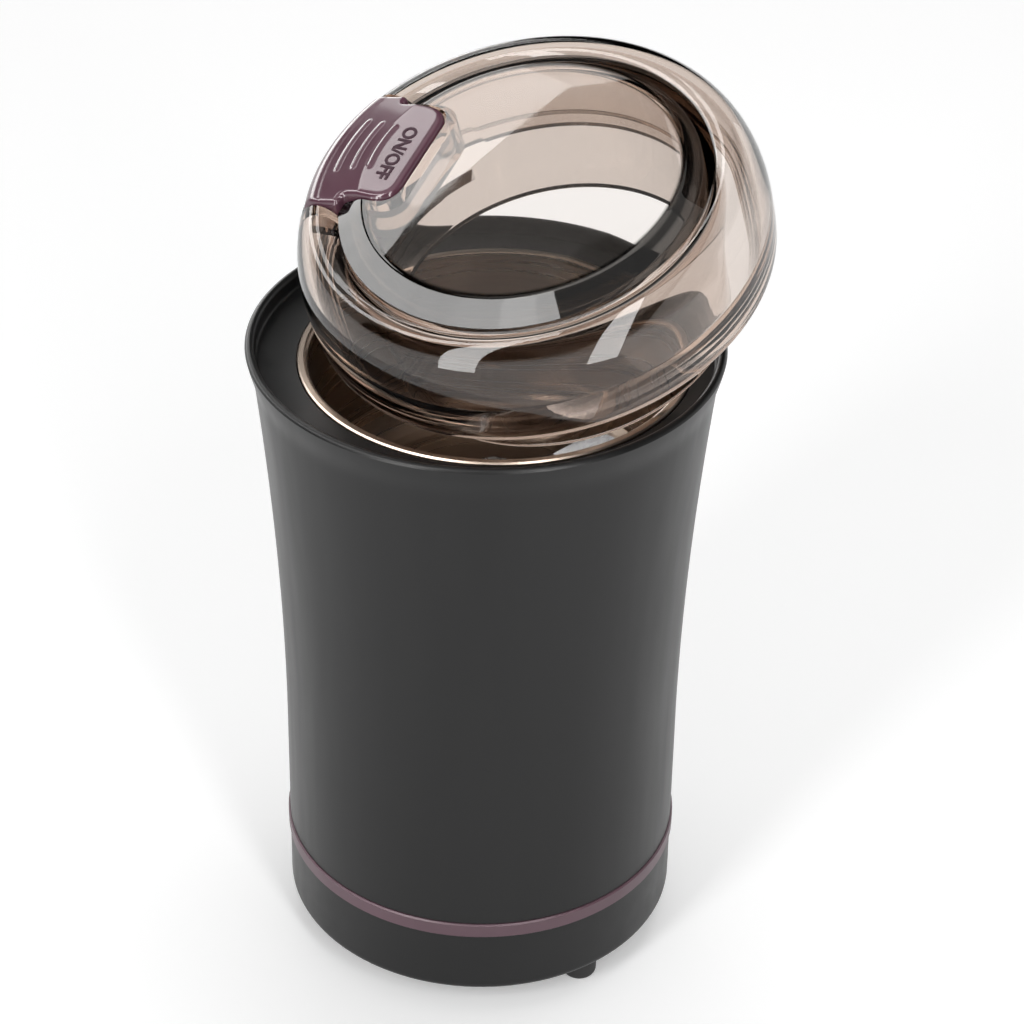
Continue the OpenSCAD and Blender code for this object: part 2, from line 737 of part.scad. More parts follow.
module commutator() {
    bars = 12;
    color([0.78, 0.45, 0.22])
    at_bowl() translate([0, 0, commutator_z])
    difference() {
        cylinder(r = commutator_r, h = commutator_h);
        translate([0, 0, -over]) cylinder(r = shaft_r, h = commutator_h + 2 * over);
        around(bars, commutator_r) translate([-0.8, -0.2, -over]) cube([2, 0.4, commutator_h + 2 * over]);
    }
}

// Fan on the shaft's lower end: hub, disc and straight blades
module cooling_fan() {
    hub = shaft_r + 3;
    disc_t = 1.4;
    color([0.85, 0.84, 0.8])
    at_bowl() translate([0, 0, fan_z])
    difference() {
        union() {
            cylinder(r = fan_r, h = disc_t);
            cylinder(r = hub, h = fan_h);
            for (i = [0:fan_blades - 1])
                rotate(360 * i / fan_blades) translate([hub - 1, -0.6, 0]) cube([fan_r - hub, 1.2, fan_h]);
        }
        translate([0, 0, -over]) cylinder(r = shaft_r, h = fan_h + 2 * over);
    }
}

// Two-winged blade with raised, tapered tips
module grinding_blade() {
    hub = blade_w / 2 + 2.5;
    flat_len = 0.55 * blade_len / 2;
    tip_len = blade_len / 2 - flat_len;
    color([0.8, 0.8, 0.8])
    at_bowl() translate([0, 0, blade_z]) rotate(25)
    difference() {
        union() {
            cylinder(r = hub, h = blade_t);
            for (turn = [0, 180])
                rotate(turn) {
                    translate([0, -blade_w / 2, 0]) cube([flat_len, blade_w, blade_t]);
                    translate([flat_len - 0.2, 0, 0]) rotate([0, -blade_bend, 0]) linear_extrude(blade_t)
                        polygon([[0, -blade_w / 2], [tip_len * 0.85, -blade_w / 2], [tip_len,
                            -blade_w / 2 + 3], [tip_len * 0.8, blade_w / 2], [0, blade_w / 2]]);
                }
        }
        translate([0, 0, -over]) cylinder(r = step_r, h = blade_t + 2 * over);
    }
}

module blade_nut() {
    across = 8;
    color([0.78, 0.78, 0.78])
    at_bowl() translate([0, 0, blade_z + blade_t])
    difference() {
        union() {
            cylinder(d = across / cos(30), h = nut_h, $fn = 6);
            translate([0, 0, nut_h]) cylinder(r1 = across / 2 - 0.2, r2 = across / 2 - 1.6, h = crown_h);
        }
        translate([0, 0, -over]) cylinder(r = step_r, h = nut_h + 1 + over);
    }
}

// Snap-action switch below the plunger
module safety_switch() {
    color([0.12, 0.12, 0.14])
    difference() {
        union() {
            at_switch() translate([-switch_t / 2 - switch_in, -switch_w / 2, switch_z])
                cube([switch_t, switch_w, switch_h]);
            at_switch() translate([-switch_in / 2, 0, switch_z + switch_h - 1])
                cylinder(r = 1, h = nib_h + 1);
            for (k = [-1, 0, 1])
                at_switch() translate([-switch_in - 0.25, k * 4 - 1, switch_z - 3]) cube([0.5, 2, 3.2]);
        }
        switch_screw_places() translate([0, 0, -over])
            cylinder(r = switch_screw_r + slip, h = switch_t + 2 * over);
    }
}

module switch_screws() {
    color("silver")
    switch_screw_places() screw(switch_screw_r, switch_t + 1.4);
}

// Plunger in the ledge, with a collar below its guide that keeps it in
module switch_plunger() {
    color([0.2, 0.2, 0.2])
    at_switch() {
        translate([0, 0, plunger_z]) cylinder(r = plunger_r, h = plunger_len);
        translate([0, 0, collar_z]) cylinder(r = collar_r, h = collar_h);
    }
}

// Return spring between the plunger's collar and the shelf
module plunger_spring() {
    bottom = plate_z + plate_t;
    color("silver")
    at_switch() translate([0, 0, bottom])
        coil_spring(plunger_r + 0.3 + spring_wire, spring_wire, collar_z - bottom, 6);
}

// Clear lid: dome, raised top with its ring, skirt, and the pocket for the button
module lid_shell() {
    color([0.5, 0.4, 0.33, 0.5])
    at_lid()
    difference() {
        union() {
            translate([dome_x, 0, 0]) rotate_extrude() polygon(dome_filled(0));
            rotate_extrude() polygon(top_filled(0));
        }
        difference() {
            translate([dome_x, 0, 0]) rotate_extrude() polygon(dome_filled(lid_wall));
            translate([0, 0, -2 * skirt_h]) cylinder(r = skirt_r, h = 3 * skirt_h);
            pocket_block();
        }
        difference() {
            rotate_extrude() polygon(top_filled(lid_wall));
            pocket_block();
        }
        translate([0, 0, pocket_floor]) linear_extrude(cap_top - pocket_floor + over) button_outline(clear);
        translate([rod_x, 0, well_floor]) cylinder(r = well_r, h = pocket_floor - well_floor + over);
        translate([rod_x, 0, rod_guide_low - over]) cylinder(r = rod_r + running, h = lid_h);
        // Room for the rod beside the spigot
        translate([rod_x, 0, -lid_h - spigot_h - over])
            cylinder(r = rod_r + clear, h = rod_guide_low + lid_h + spigot_h + over);
    }
}

// What stays of the lid round the button: the pocket's walls and floor, the spring's well and the rod's guide
module pocket_block() {
    translate([0, 0, pocket_floor - pocket_wall]) linear_extrude(cap_top - pocket_floor)
        button_outline(clear + pocket_wall);
    translate([rod_x, 0, well_floor - pocket_wall])
        cylinder(r = well_r + pocket_wall, h = pocket_floor - well_floor);
    translate([rod_x, 0, rod_guide_low]) cylinder(r = rod_r + pocket_wall, h = well_floor - rod_guide_low);
}

// Half section of the dome, filled, drawn in by a wall for its inside
function dome_filled(in) = concat(
    [[0, dome_face(in)[0][1]]],
    dome_face(in),
    in > 0 ? [[spigot_r - in, -lid_h], [spigot_r - in, -lid_h - spigot_h - over], [0,
        -lid_h - spigot_h - over]]
           : concat(arc([lid_edge_r, -lid_bulge], lid_r - lid_edge_r, lid_h - lid_bulge, 0, -90, 6),
                    [[spigot_r, -lid_h], [spigot_r, -lid_h - spigot_h], [0, -lid_h - spigot_h]]));

// The dome's face from inside the ring over the crest to the widest part
function dome_face(in) = arc([crest_r, -lid_bulge], lid_r - crest_r - in, lid_bulge + crest_up - in,
    acos((lid_ring_r - dome_x - slip - crest_r) / (lid_r - crest_r - in)), 0, 14);

// Half section of the raised top and the skirt, filled, drawn in by a wall for the inside
function top_filled(in) = [
    [0, lid_top_h - in], [lid_ring_r - lid_shoulder - in / 2, lid_top_h - in],
    [in > 0 ? skirt_r - in : lid_ring_r, in > 0 ? shoulder_z(skirt_r - in + in / 2) - in : 0],
    [in > 0 ? skirt_r - in : lid_ring_r, -2 * lid_wall], [skirt_r - in, -3 * lid_wall],
    [skirt_r - in, -skirt_h - (in > 0 ? over : 0)], [0, -skirt_h - (in > 0 ? over : 0)]];
function shoulder_z(r) = lid_top_h * (lid_ring_r - r) / lid_shoulder;

// Outline of the button seen along the lid's axis, grown by a gap
module button_outline(grow) {
    rounded_strip(button_in, button_step + 6, button_narrow, 5, grow);
    rounded_strip(button_step, lid_r + dome_x + 8, button_wide, 2.4, grow);
}

// A strip along +X with rounded corners at its inner end
module rounded_strip(from, to, half, round, grow) {
    x0 = from - grow;
    w = half + grow;
    r = round + grow;
    translate([x0 + r, -w]) square([to - x0 - r, 2 * w]);
    translate([x0, -w + r]) square([2 * r, 2 * (w - r)]);
    for (side = [-1, 1])
        translate([x0 + r, side * (w - r)]) circle(r);
}

// Top face of the button, round the dome's axis
function cap_face(in) = concat([[0, cap_top - in], [cap_flat_r, cap_top - in]],
    arc([crest_r, -lid_bulge], cap_edge_r - crest_r - in, lid_bulge + cap_crest - in, 90, 0, 12));

// Push button, hollow below, with three grip ridges
module button_cap() {
    ridge_r = 0.45;
    ridge_span = 24;
    color([0.4, 0.2, 0.3])
    at_lid() {
        difference() {
            intersection() {
                translate([0, 0, button_low]) linear_extrude(cap_top - button_low + over) button_outline(0);
                translate([dome_x, 0, 0]) rotate_extrude() polygon(concat(cap_face(0), [[0, -lid_bulge]]));
            }
            intersection() {
                translate([0, 0, button_low - over]) linear_extrude(cap_top - button_low + over)
                    button_outline(-button_wall);
                translate([dome_x, 0, 0]) rotate_extrude()
                    polygon(concat(cap_face(button_wall + clear), [[0, -lid_bulge]]));
            }
        }
        for (r = [for (i = [0:2]) ridge_in + i * ridge_gap])
            translate([dome_x, 0, 0]) rotate(-ridge_span / 2) rotate_extrude(angle = ridge_span)
                translate([r, cap_z(r)]) circle(ridge_r, $fn = 24);
        translate([rod_x, 0, boss_low]) difference() {
            cylinder(r = rod_r + 1.4, h = cap_z(rod_x - dome_x) - button_wall - boss_low);
            translate([0, 0, -over]) cylinder(r = rod_r, h = rod_top - boss_low + over);
        }
    }
}

function cap_z(r) =
    r < cap_flat_r ? cap_top :
    r < crest_r ? cap_top + (cap_crest - cap_top) * (r - cap_flat_r) / (crest_r - cap_flat_r) :
    -lid_bulge + (lid_bulge + cap_crest) * sqrt(1 - pow((r - crest_r) / (cap_edge_r - crest_r), 2));

// Rod that the button drives down through the lid to the plunger
module push_rod() {
    color([0.4, 0.2, 0.3])
    at_lid() translate([rod_x, 0, rod_low]) cylinder(r = rod_r, h = rod_top - rod_low);
}

module button_spring() {
    color("silver")
    at_lid() translate([rod_x, 0, well_floor])
        coil_spring(rod_r + 0.3 + spring_wire, spring_wire, boss_low - well_floor, 5);
}

body_shell();
accent_ring();
base_cap();
feet();
base_screws();
cord_inlet();
grinding_bowl();
bowl_gasket();
bowl_screws();
shaft_seal();
motor_bracket();
mount_grommets();
mount_screws();
upper_bearing();
field_stack();
field_coils();
brush_carrier();
lower_bearing();
brush_holders();
carbon_brushes();
motor_bolts();
motor_shaft();
armature();
commutator();
cooling_fan();
grinding_blade();
blade_nut();
safety_switch();
switch_screws();
switch_plunger();
plunger_spring();
lid_shell();
button_cap();
push_rod();
button_spring();
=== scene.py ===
import math

import bmesh
import bpy
from mathutils import Matrix, Vector
from mathutils.geometry import delaunay_2d_cdt


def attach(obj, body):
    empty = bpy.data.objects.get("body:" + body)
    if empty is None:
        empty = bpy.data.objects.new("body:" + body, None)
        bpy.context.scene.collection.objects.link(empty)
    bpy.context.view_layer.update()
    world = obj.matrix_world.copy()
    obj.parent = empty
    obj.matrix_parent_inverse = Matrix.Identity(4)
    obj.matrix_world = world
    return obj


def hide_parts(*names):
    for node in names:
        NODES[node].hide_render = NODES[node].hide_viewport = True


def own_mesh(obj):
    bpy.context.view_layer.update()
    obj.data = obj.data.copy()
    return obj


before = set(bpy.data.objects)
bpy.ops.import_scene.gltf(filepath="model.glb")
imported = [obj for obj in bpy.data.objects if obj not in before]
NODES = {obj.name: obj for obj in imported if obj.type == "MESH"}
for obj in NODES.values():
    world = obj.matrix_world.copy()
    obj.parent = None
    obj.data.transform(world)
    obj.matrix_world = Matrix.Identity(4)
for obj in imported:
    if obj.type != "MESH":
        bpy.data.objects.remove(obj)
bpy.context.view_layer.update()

MM = 0.001
TINY = 1e-6
MERGE = 1e-5
scene = bpy.context.scene

# Sizes of the body, in millimetres, as the frame has them
FOOT_H = 6.0
BODY_H = 136.0
BASE_H = 15.0
ACCENT_H = 3.4
WAIST_R = 41.5
FLARE_START = 45.0
FLARE_GAIN = 5.6
FLARE_POWER = 1.9
BEAD_H = 8.0
BEAD_OUT = 0.9
WALL = 2.2
RIM_W = 2.0
RIM_IN = 0.06
RIM_DROP = 1.2
LEDGE_DEPTH = 3.6
LEDGE_ROUND = 0.7
DECK_T = 3.0
BODY_EDGE = 0.25
INSIDE_HEIGHTS = (110.0, 90.0, 60.0, FLARE_START)
SHELL_Z = FOOT_H + BASE_H + ACCENT_H
RIM_Z = FOOT_H + BODY_H
LEDGE_Z = RIM_Z - LEDGE_DEPTH
DECK_Z = LEDGE_Z - DECK_T
SLIP = 0.1
RUNNING = 0.05

# The bowl's hole is off the body's axis, away from the safety switch
BOWL_R = 37.2
BOWL_T = 0.8
LIP_R = 39.3
LIP_SEAT_Z = DECK_Z + 1.5
SHIFT = 2.2
SWITCH_AZ = math.radians(148.0)
BOWL_X = -SHIFT * math.cos(SWITCH_AZ)
BOWL_Y = -SHIFT * math.sin(SWITCH_AZ)
PLUNGER_R = 1.6
PLUNGER_GAP = 0.7
PLUNGER_RING_R = LIP_R - SHIFT + PLUNGER_R + PLUNGER_GAP
BORE_LOW = LEDGE_Z - 8
BORE_HIGH = LEDGE_Z + 2

# The lid's own frame: ring centre at the origin, +X towards the button
LEAN = math.radians(19.4)
HEADING = math.radians(230.6)
BUTTON_AZ = math.radians(153.0)
SKIRT_H = 35.0
LID_FOOT = Vector((14.58, 8.57, RIM_Z + 1.27))
LID_TURN = (Matrix.Rotation(HEADING, 4, "Z") @ Matrix.Rotation(LEAN, 4, "Y")
            @ Matrix.Rotation(BUTTON_AZ - HEADING, 4, "Z"))
LID = Matrix.Translation(LID_FOOT * MM) @ LID_TURN @ Matrix.Translation((0, 0, SKIRT_H * MM))
LID_R = 47.0
LID_EDGE_R = 46.6
LID_H = 20.9
LID_BULGE = 13.6
LID_WALL = 2.2
CREST_R = 40.0
CREST_UP = 1.0
DOME_X = 1.0
SPIGOT_R = 44.4
SPIGOT_LOW = -LID_H - 2.4
SPIGOT_ROUND = 0.5
SPIGOT_CORNER = 0.3
RING_R = 37.1
TOP_H = 2.8
TOP_MESH_R = (0, 15, 25)
SHOULDER = 5.3
CROWN_ROUND = 1.6
SKIRT_R = 36.0
SKIRT_EDGE = 0.5
CUP_SLOPE_IN = 1.1
CUP_SLOPE_Z = -1.6
CUP_ROUND = 1.2
CUT_PAST = 3.0
LID_AROUND = 240
LID_ANGLES = [2 * math.pi * i / LID_AROUND for i in range(LID_AROUND)]
LID_SHARP = 28.0

# The button and its pocket, in the lid's frame
BUTTON_IN = 22.4
BUTTON_STEP = 33.6
BUTTON_NARROW = 13.2
BUTTON_WIDE = 15.6
BUTTON_LOW = -2.5
BUTTON_FAR = 60.0
BUTTON_SOFT = 1.3
BUTTON_END_H = 0.3
BUTTON_SHARP = 50.0
STEP_ROUND = 2.4
NOTCH_ROUND = 1.2
END_ROUND = 5.0
CAP_TOP = TOP_H + 0.8
CAP_FLAT_R = CREST_R - 8.5
CAP_CREST = CREST_UP + 0.5
CAP_EDGE_R = LID_R + 0.4
CAP_REACH = 0.985
GAP = 0.4
POCKET_FLOOR = -5.4
POCKET_WALL = 1.4
POCKET_FAR = LID_R + DOME_X + 8
POCKET_LAP = 0.5
POCKET_PAST = 1.0
ROD_X = PLUNGER_RING_R + SHIFT
ROD_R = 1.7
WELL_R = ROD_R + 2.9
WELL_FLOOR = -13.0
GUIDE_LOW = 1.6 - LID_H

# The grip ridges and the word on the button
RIDGE_IN = CAP_FLAT_R - 1.0
RIDGE_GAP = 3.65
RIDGES = [RIDGE_IN + RIDGE_GAP * i for i in range(3)]
RIDGE_SPAN = math.radians(11.0)
RIDGE_UP = 0.4
RIDGE_HALF = 0.34
RIDGE_FADE = 0.4
RIDGE_REACH = 2.0
WORD_SIZE = 4.0
WORD_BOLD = 0.11
WORD_RAISED = 0.09
WORD_LIFT = 0.02
WORD_X = 27.4
WORD_Y = 1.0

# The mesh of the button's top face
GRID = 0.32
GRID_X = 20.0
GRID_Y = -18.0
GRID_COLUMNS = 95
GRID_ROWS = 113
GRID_CLEAR = 0.12
EDGE_STEP = 0.4
EDGE_SHORTEST = 0.05

# Return springs
SPRING_WIRE = 0.35
PLUNGER_TURNS = 6
BUTTON_TURNS = 5
UPRIGHT = Matrix.Identity(4)

# The camera, at the photograph's viewing angle
CAMERA_HIGH = math.radians(34.348)
CAMERA_ROLL = math.radians(1.05)
CAMERA_FAR = 672.82
CAMERA_AIM = Vector((5.713, 0, 94.232 + FOOT_H))
FOCAL_PX = 3271.9
FRAME_PX = 1024
SENSOR = 36.0


def make_camera():
    back = Vector((0, -math.cos(CAMERA_HIGH), math.sin(CAMERA_HIGH)))
    right = Vector((1, 0, 0))
    up = back.cross(right)
    right_rolled = right * math.cos(CAMERA_ROLL) + up * math.sin(CAMERA_ROLL)
    up_rolled = up * math.cos(CAMERA_ROLL) - right * math.sin(CAMERA_ROLL)
    data = bpy.data.cameras.new("camera")
    data.sensor_width = SENSOR
    data.lens = FOCAL_PX / FRAME_PX * SENSOR
    camera = bpy.data.objects.new("camera", data)
    scene.collection.objects.link(camera)
    turn = Matrix((right_rolled, up_rolled, back)).transposed().to_4x4()
    camera.matrix_world = Matrix.Translation((CAMERA_AIM + back * CAMERA_FAR) * MM) @ turn
    scene.camera = camera


# Shader helpers
def new_material(name):
    material = bpy.data.materials.new(name)
    material.use_nodes = True
    tree = material.node_tree
    return material, tree, tree.nodes["Principled BSDF"]


def add(tree, kind, **settings):
    node = tree.nodes.new(kind)
    for key, value in settings.items():
        setattr(node, key, value)
    return node


def place(tree, stretch=(1, 1, 1)):
    """Object coordinates, stretched."""
    coords = add(tree, "ShaderNodeTexCoord")
    mapping = add(tree, "ShaderNodeMapping")
    mapping.inputs["Scale"].default_value = stretch
    tree.links.new(coords.outputs["Object"], mapping.inputs["Vector"])
    return mapping.outputs["Vector"]


def noise_at(tree, vector, scale, detail):
    node = add(tree, "ShaderNodeTexNoise")
    node.inputs["Scale"].default_value = scale
    node.inputs["Detail"].default_value = detail
    tree.links.new(vector, node.inputs["Vector"])
    return node.outputs["Fac"]


def noise(tree, scale, detail, stretch=(1, 1, 1)):
    return noise_at(tree, place(tree, stretch), scale, detail)


def map_range(tree, value, start, end, low, high, kind="LINEAR"):
    node = add(tree, "ShaderNodeMapRange", interpolation_type=kind)
    node.inputs["From Min"].default_value = start
    node.inputs["From Max"].default_value = end
    node.inputs["To Min"].default_value = low
    node.inputs["To Max"].default_value = high
    tree.links.new(value, node.inputs["Value"])
    return node.outputs["Result"]


def spread(tree, value, low, high):
    """A noise value mapped from its middle range to low..high."""
    return map_range(tree, value, 0.3, 0.7, low, high)


def soft_step(tree, value, start, end, low=0.0, high=1.0):
    """A soft step between two places in millimetres."""
    return map_range(tree, value, start * MM, end * MM, low, high, "SMOOTHSTEP")


def math_node(tree, operation, first, second):
    node = add(tree, "ShaderNodeMath", operation=operation)
    tree.links.new(first, node.inputs[0])
    tree.links.new(second, node.inputs[1])
    return node.outputs["Value"]


def multiply(tree, first, second):
    return math_node(tree, "MULTIPLY", first, second)


def length(tree, vector):
    node = add(tree, "ShaderNodeVectorMath", operation="LENGTH")
    tree.links.new(vector, node.inputs[0])
    return node.outputs["Value"]


def axis_reach(tree, vector):
    """A point's distance from the upright axis, and its height."""
    parts = add(tree, "ShaderNodeSeparateXYZ")
    tree.links.new(vector, parts.inputs["Vector"])
    flat = add(tree, "ShaderNodeCombineXYZ")
    tree.links.new(parts.outputs["X"], flat.inputs["X"])
    tree.links.new(parts.outputs["Y"], flat.inputs["Y"])
    return length(tree, flat.outputs["Vector"]), parts.outputs["Z"]


def two_tone(tree, value, first, second):
    ramp = add(tree, "ShaderNodeValToRGB")
    ramp.color_ramp.elements[0].position = 0.35
    ramp.color_ramp.elements[1].position = 0.65
    ramp.color_ramp.elements[0].color = (*first, 1)
    ramp.color_ramp.elements[1].color = (*second, 1)
    tree.links.new(value, ramp.inputs["Fac"])
    return ramp.outputs["Color"]


def bump(tree, shader, value, strength, distance):
    node = add(tree, "ShaderNodeBump")
    node.inputs["Strength"].default_value = strength
    node.inputs["Distance"].default_value = distance
    tree.links.new(value, node.inputs["Height"])
    tree.links.new(node.outputs["Normal"], shader.inputs["Normal"])


def scaled(tone, share):
    return tuple(share * c for c in tone)


# Materials
def moulded(name, tone, rough, streak=(1, 1, 1), depth=0.00002, coat=0.0, gloss=0.5):
    """Moulded plastic: slight tone drift, uneven gloss and a fine grain."""
    material, tree, shader = new_material(name)
    drift = two_tone(tree, noise(tree, 45, 4, streak), scaled(tone, 0.9), scaled(tone, 1.1))
    tree.links.new(drift, shader.inputs["Base Color"])
    uneven = spread(tree, noise(tree, 160, 5, streak), rough - 0.04, rough + 0.04)
    tree.links.new(uneven, shader.inputs["Roughness"])
    bump(tree, shader, noise(tree, 2600, 2), 0.25, depth)
    shader.inputs["Specular IOR Level"].default_value = gloss
    shader.inputs["Coat Weight"].default_value = coat
    shader.inputs["Coat Roughness"].default_value = 0.08
    return material


def metal(name, tone, rough, stretch=(1, 1, 1), scale=700.0):
    """Metal with fine tool marks along one direction."""
    material, tree, shader = new_material(name)
    drift = two_tone(tree, noise(tree, scale / 3, 3, stretch), scaled(tone, 0.88), tone)
    tree.links.new(drift, shader.inputs["Base Color"])
    uneven = spread(tree, noise(tree, scale, 4, stretch), rough - 0.05, rough + 0.06)
    tree.links.new(uneven, shader.inputs["Roughness"])
    shader.inputs["Metallic"].default_value = 1.0
    bump(tree, shader, noise(tree, scale, 3, stretch), 0.08, 0.00002)
    return material


def spun(name, tone, rough, centre, scale=900.0):
    """Sheet steel with fine rings about an upright axis."""
    material, tree, shader = new_material(name)
    coords = add(tree, "ShaderNodeTexCoord")
    apart = add(tree, "ShaderNodeVectorMath", operation="SUBTRACT")
    apart.inputs[1].default_value = centre
    tree.links.new(coords.outputs["Object"], apart.inputs[0])
    reach, height = axis_reach(tree, apart.outputs["Vector"])
    rings = add(tree, "ShaderNodeCombineXYZ")
    tree.links.new(reach, rings.inputs["X"])
    tree.links.new(height, rings.inputs["Y"])
    marks = noise_at(tree, rings.outputs["Vector"], scale, 3)
    tree.links.new(two_tone(tree, marks, scaled(tone, 0.9), tone), shader.inputs["Base Color"])
    tree.links.new(spread(tree, marks, rough - 0.03, rough + 0.05), shader.inputs["Roughness"])
    shader.inputs["Metallic"].default_value = 1.0
    bump(tree, shader, marks, 0.05, 0.00001)
    return material


# Where painted shade changes the clear plastic's tint in the lid's frame, in millimetres, and its tints: the
# dome's darker tint and the ring's near-black tint are painted shade
TOP_LOW_FADE = (-0.9, -0.3)
TOP_EDGE_FADE = (RING_R - 0.1, RING_R + 0.3)
RING_SHADE_FADE = (30.3, 31.2)
DOME_PAINTED_SHADE = (0.79, 0.738, 0.705, 1)
TOP_TINT = (1, 1, 1, 1)
RING_PAINTED_SHADE = (0.014, 0.013, 0.012, 1)
SMOKE = (0.66, 0.42, 0.23, 1)
SMOKE_DENSITY = 70.0
CLEAR_IOR = 1.49


def lid_painted_shade_masks(tree):
    """Masks for the painted shade, in the lid's own frame: 1 on the lid's flat top and 0 elsewhere, and the
    same for its raised ring.
    """
    coords = add(tree, "ShaderNodeTexCoord")
    local = add(tree, "ShaderNodeMapping", vector_type="TEXTURE")
    local.inputs["Location"].default_value = LID.to_translation()
    local.inputs["Rotation"].default_value = LID.to_euler()
    tree.links.new(coords.outputs["Object"], local.inputs["Vector"])
    reach, height = axis_reach(tree, local.outputs["Vector"])
    high = soft_step(tree, height, *TOP_LOW_FADE)
    top = multiply(tree, high, soft_step(tree, reach, *TOP_EDGE_FADE, 1.0, 0.0))
    return top, multiply(tree, top, soft_step(tree, reach, *RING_SHADE_FADE))


def clear_brown(name):
    """Smoky clear plastic, clearest in the lid's flat top, with painted shade: a darker tint in its dome and
    a near-black tint in its ring.
    """
    material, tree, shader = new_material(name)
    top, ring = lid_painted_shade_masks(tree)
    # Painted shade: the dome's tint is darker than the top's and the ring's is near black, on one clear
    # plastic
    wall = add(tree, "ShaderNodeMix", data_type="RGBA")
    wall.inputs["A"].default_value = DOME_PAINTED_SHADE
    wall.inputs["B"].default_value = TOP_TINT
    tree.links.new(top, wall.inputs["Factor"])
    tint = add(tree, "ShaderNodeMix", data_type="RGBA")
    tree.links.new(wall.outputs["Result"], tint.inputs["A"])
    tint.inputs["B"].default_value = RING_PAINTED_SHADE
    tree.links.new(ring, tint.inputs["Factor"])
    tree.links.new(tint.outputs["Result"], shader.inputs["Base Color"])
    shader.inputs["Transmission Weight"].default_value = 1.0
    shader.inputs["IOR"].default_value = CLEAR_IOR
    tree.links.new(spread(tree, noise(tree, 90, 3), 0.0, 0.03), shader.inputs["Roughness"])
    volume = add(tree, "ShaderNodeVolumeAbsorption")
    volume.inputs["Color"].default_value = SMOKE
    volume.inputs["Density"].default_value = SMOKE_DENSITY
    tree.links.new(volume.outputs["Volume"], tree.nodes["Material Output"].inputs["Volume"])
    return material


def make_materials():
    upright = (1, 1, 0.12)
    black = (0.009, 0.009, 0.0092)
    return {
        "shell": moulded("black_satin_plastic", black, 0.36, streak=upright, gloss=0.3),
        "base": moulded("black_base_plastic", black, 0.38, gloss=0.3),
        "accent": moulded("purple_ring_plastic", (0.105, 0.055, 0.072), 0.38),
        "button": moulded("purple_gloss_plastic", (0.11, 0.045, 0.066), 0.22, depth=0.000006, coat=0.6),
        "letters": moulded("letter_purple", (0.05, 0.02, 0.032), 0.5, gloss=0.2),
        "clear": clear_brown("smoky_clear_plastic_painted_shade"),
        "rubber": moulded("black_rubber", (0.012, 0.012, 0.012), 0.6, depth=0.00005),
        # The steel's warm brown tone is painted light: the brownish light that reaches the bowl through the
        # lid
        "bowl": spun("spun_steel_painted_lid_light", (0.5, 0.41, 0.34), 0.28, (BOWL_X * MM, BOWL_Y * MM, 0)),
        "screw": metal("zinc_screw", (0.62, 0.62, 0.62), 0.28),
        "alloy": metal("cast_alloy", (0.5, 0.51, 0.52), 0.45, scale=300),
        "bronze": metal("sintered_bronze", (0.5, 0.33, 0.14), 0.4),
        "lamination": metal("lamination_steel", (0.3, 0.31, 0.33), 0.42, (1, 1, 30)),
        "copper": metal("enamelled_copper", (0.52, 0.2, 0.07), 0.3, (1, 1, 25)),
        "carrier": moulded("moulded_carrier", (0.1, 0.085, 0.07), 0.55),
        "carbon": moulded("carbon", (0.02, 0.02, 0.021), 0.6),
        "fan": moulded("fan_plastic", (0.62, 0.6, 0.55), 0.5),
        "steel": metal("ground_steel", (0.56, 0.56, 0.57), 0.22, (6, 1, 1)),
    }


M = make_materials()
NODES_BY_MATERIAL = {
    "shell": ["body_shell"],
    "base": ["base_cap", "switch_plunger"],
    "accent": ["accent_ring"],
    "button": ["button_cap", "push_rod"],
    "clear": ["lid_shell"],
    "rubber": ["feet", "cord_inlet", "bowl_gasket", "shaft_seal", "mount_grommets"],
    "bowl": ["grinding_bowl"],
    "screw": ["base_screws", "bowl_screws", "mount_screws", "motor_bolts", "blade_nut", "switch_screws",
              "plunger_spring", "button_spring"],
    "alloy": ["motor_bracket"],
    "bronze": ["upper_bearing", "lower_bearing", "brush_holders"],
    "lamination": ["field_stack"],
    "copper": ["field_coils", "armature", "commutator"],
    "carrier": ["brush_carrier"],
    "carbon": ["carbon_brushes", "safety_switch"],
    "fan": ["cooling_fan"],
    "steel": ["motor_shaft", "grinding_blade"],
}


def dress_nodes():
    for key, names in NODES_BY_MATERIAL.items():
        for name in names:
            mesh = NODES[name].data
            mesh.materials.clear()
            mesh.materials.append(M[key])


# Mesh helpers, all in millimetres
def shade(mesh, sharp_deg):
    for polygon in mesh.polygons:
        polygon.use_smooth = True
    mesh.set_sharp_from_angle(angle=math.radians(sharp_deg))


def to_object(name, bm, material, matrix=None, sharp_deg=35.0):
    bmesh.ops.recalc_face_normals(bm, faces=bm.faces)
    bmesh.ops.scale(bm, vec=(MM, MM, MM), verts=bm.verts)
    if matrix is not None:
        bmesh.ops.transform(bm, matrix=matrix, verts=bm.verts)
    mesh = bpy.data.meshes.new(name)
    bm.to_mesh(mesh)
    bm.free()
    shade(mesh, sharp_deg)
    mesh.materials.append(material)
    piece = bpy.data.objects.new(name, mesh)
    scene.collection.objects.link(piece)
    return piece


def loft(rings):
    """A skin over rings of points; a ring of one point closes its end."""
    bm = bmesh.new()
    made = [[bm.verts.new(p) for p in ring] for ring in rings]
    for a, b in zip(made, made[1:]):
        n = max(len(a), len(b))
        for i in range(n):
            j = (i + 1) % n
            if len(a) == 1:
                bm.faces.new((a[0], b[j], b[i]))
            elif len(b) == 1:
                bm.faces.new((a[i], a[j], b[0]))
            else:
                bm.faces.new((a[i], a[j], b[j], b[i]))
    return bm


def circle(r, z, centre=(0, 0), around=256):
    """A level ring of points, or the one point where it is on the axis."""
    if r < TINY:
        return [(*centre, z)]
    turns = [2 * math.pi * i / around for i in range(around)]
    return [(centre[0] + r * math.cos(a), centre[1] + r * math.sin(a), z) for a in turns]


def post(x, radius, low, high, around=64):
    """A round upright rod."""
    profile = [(0, low), (radius, low), (radius, high), (0, high)]
    return loft([circle(r, z, (x, 0), around) for r, z in profile])


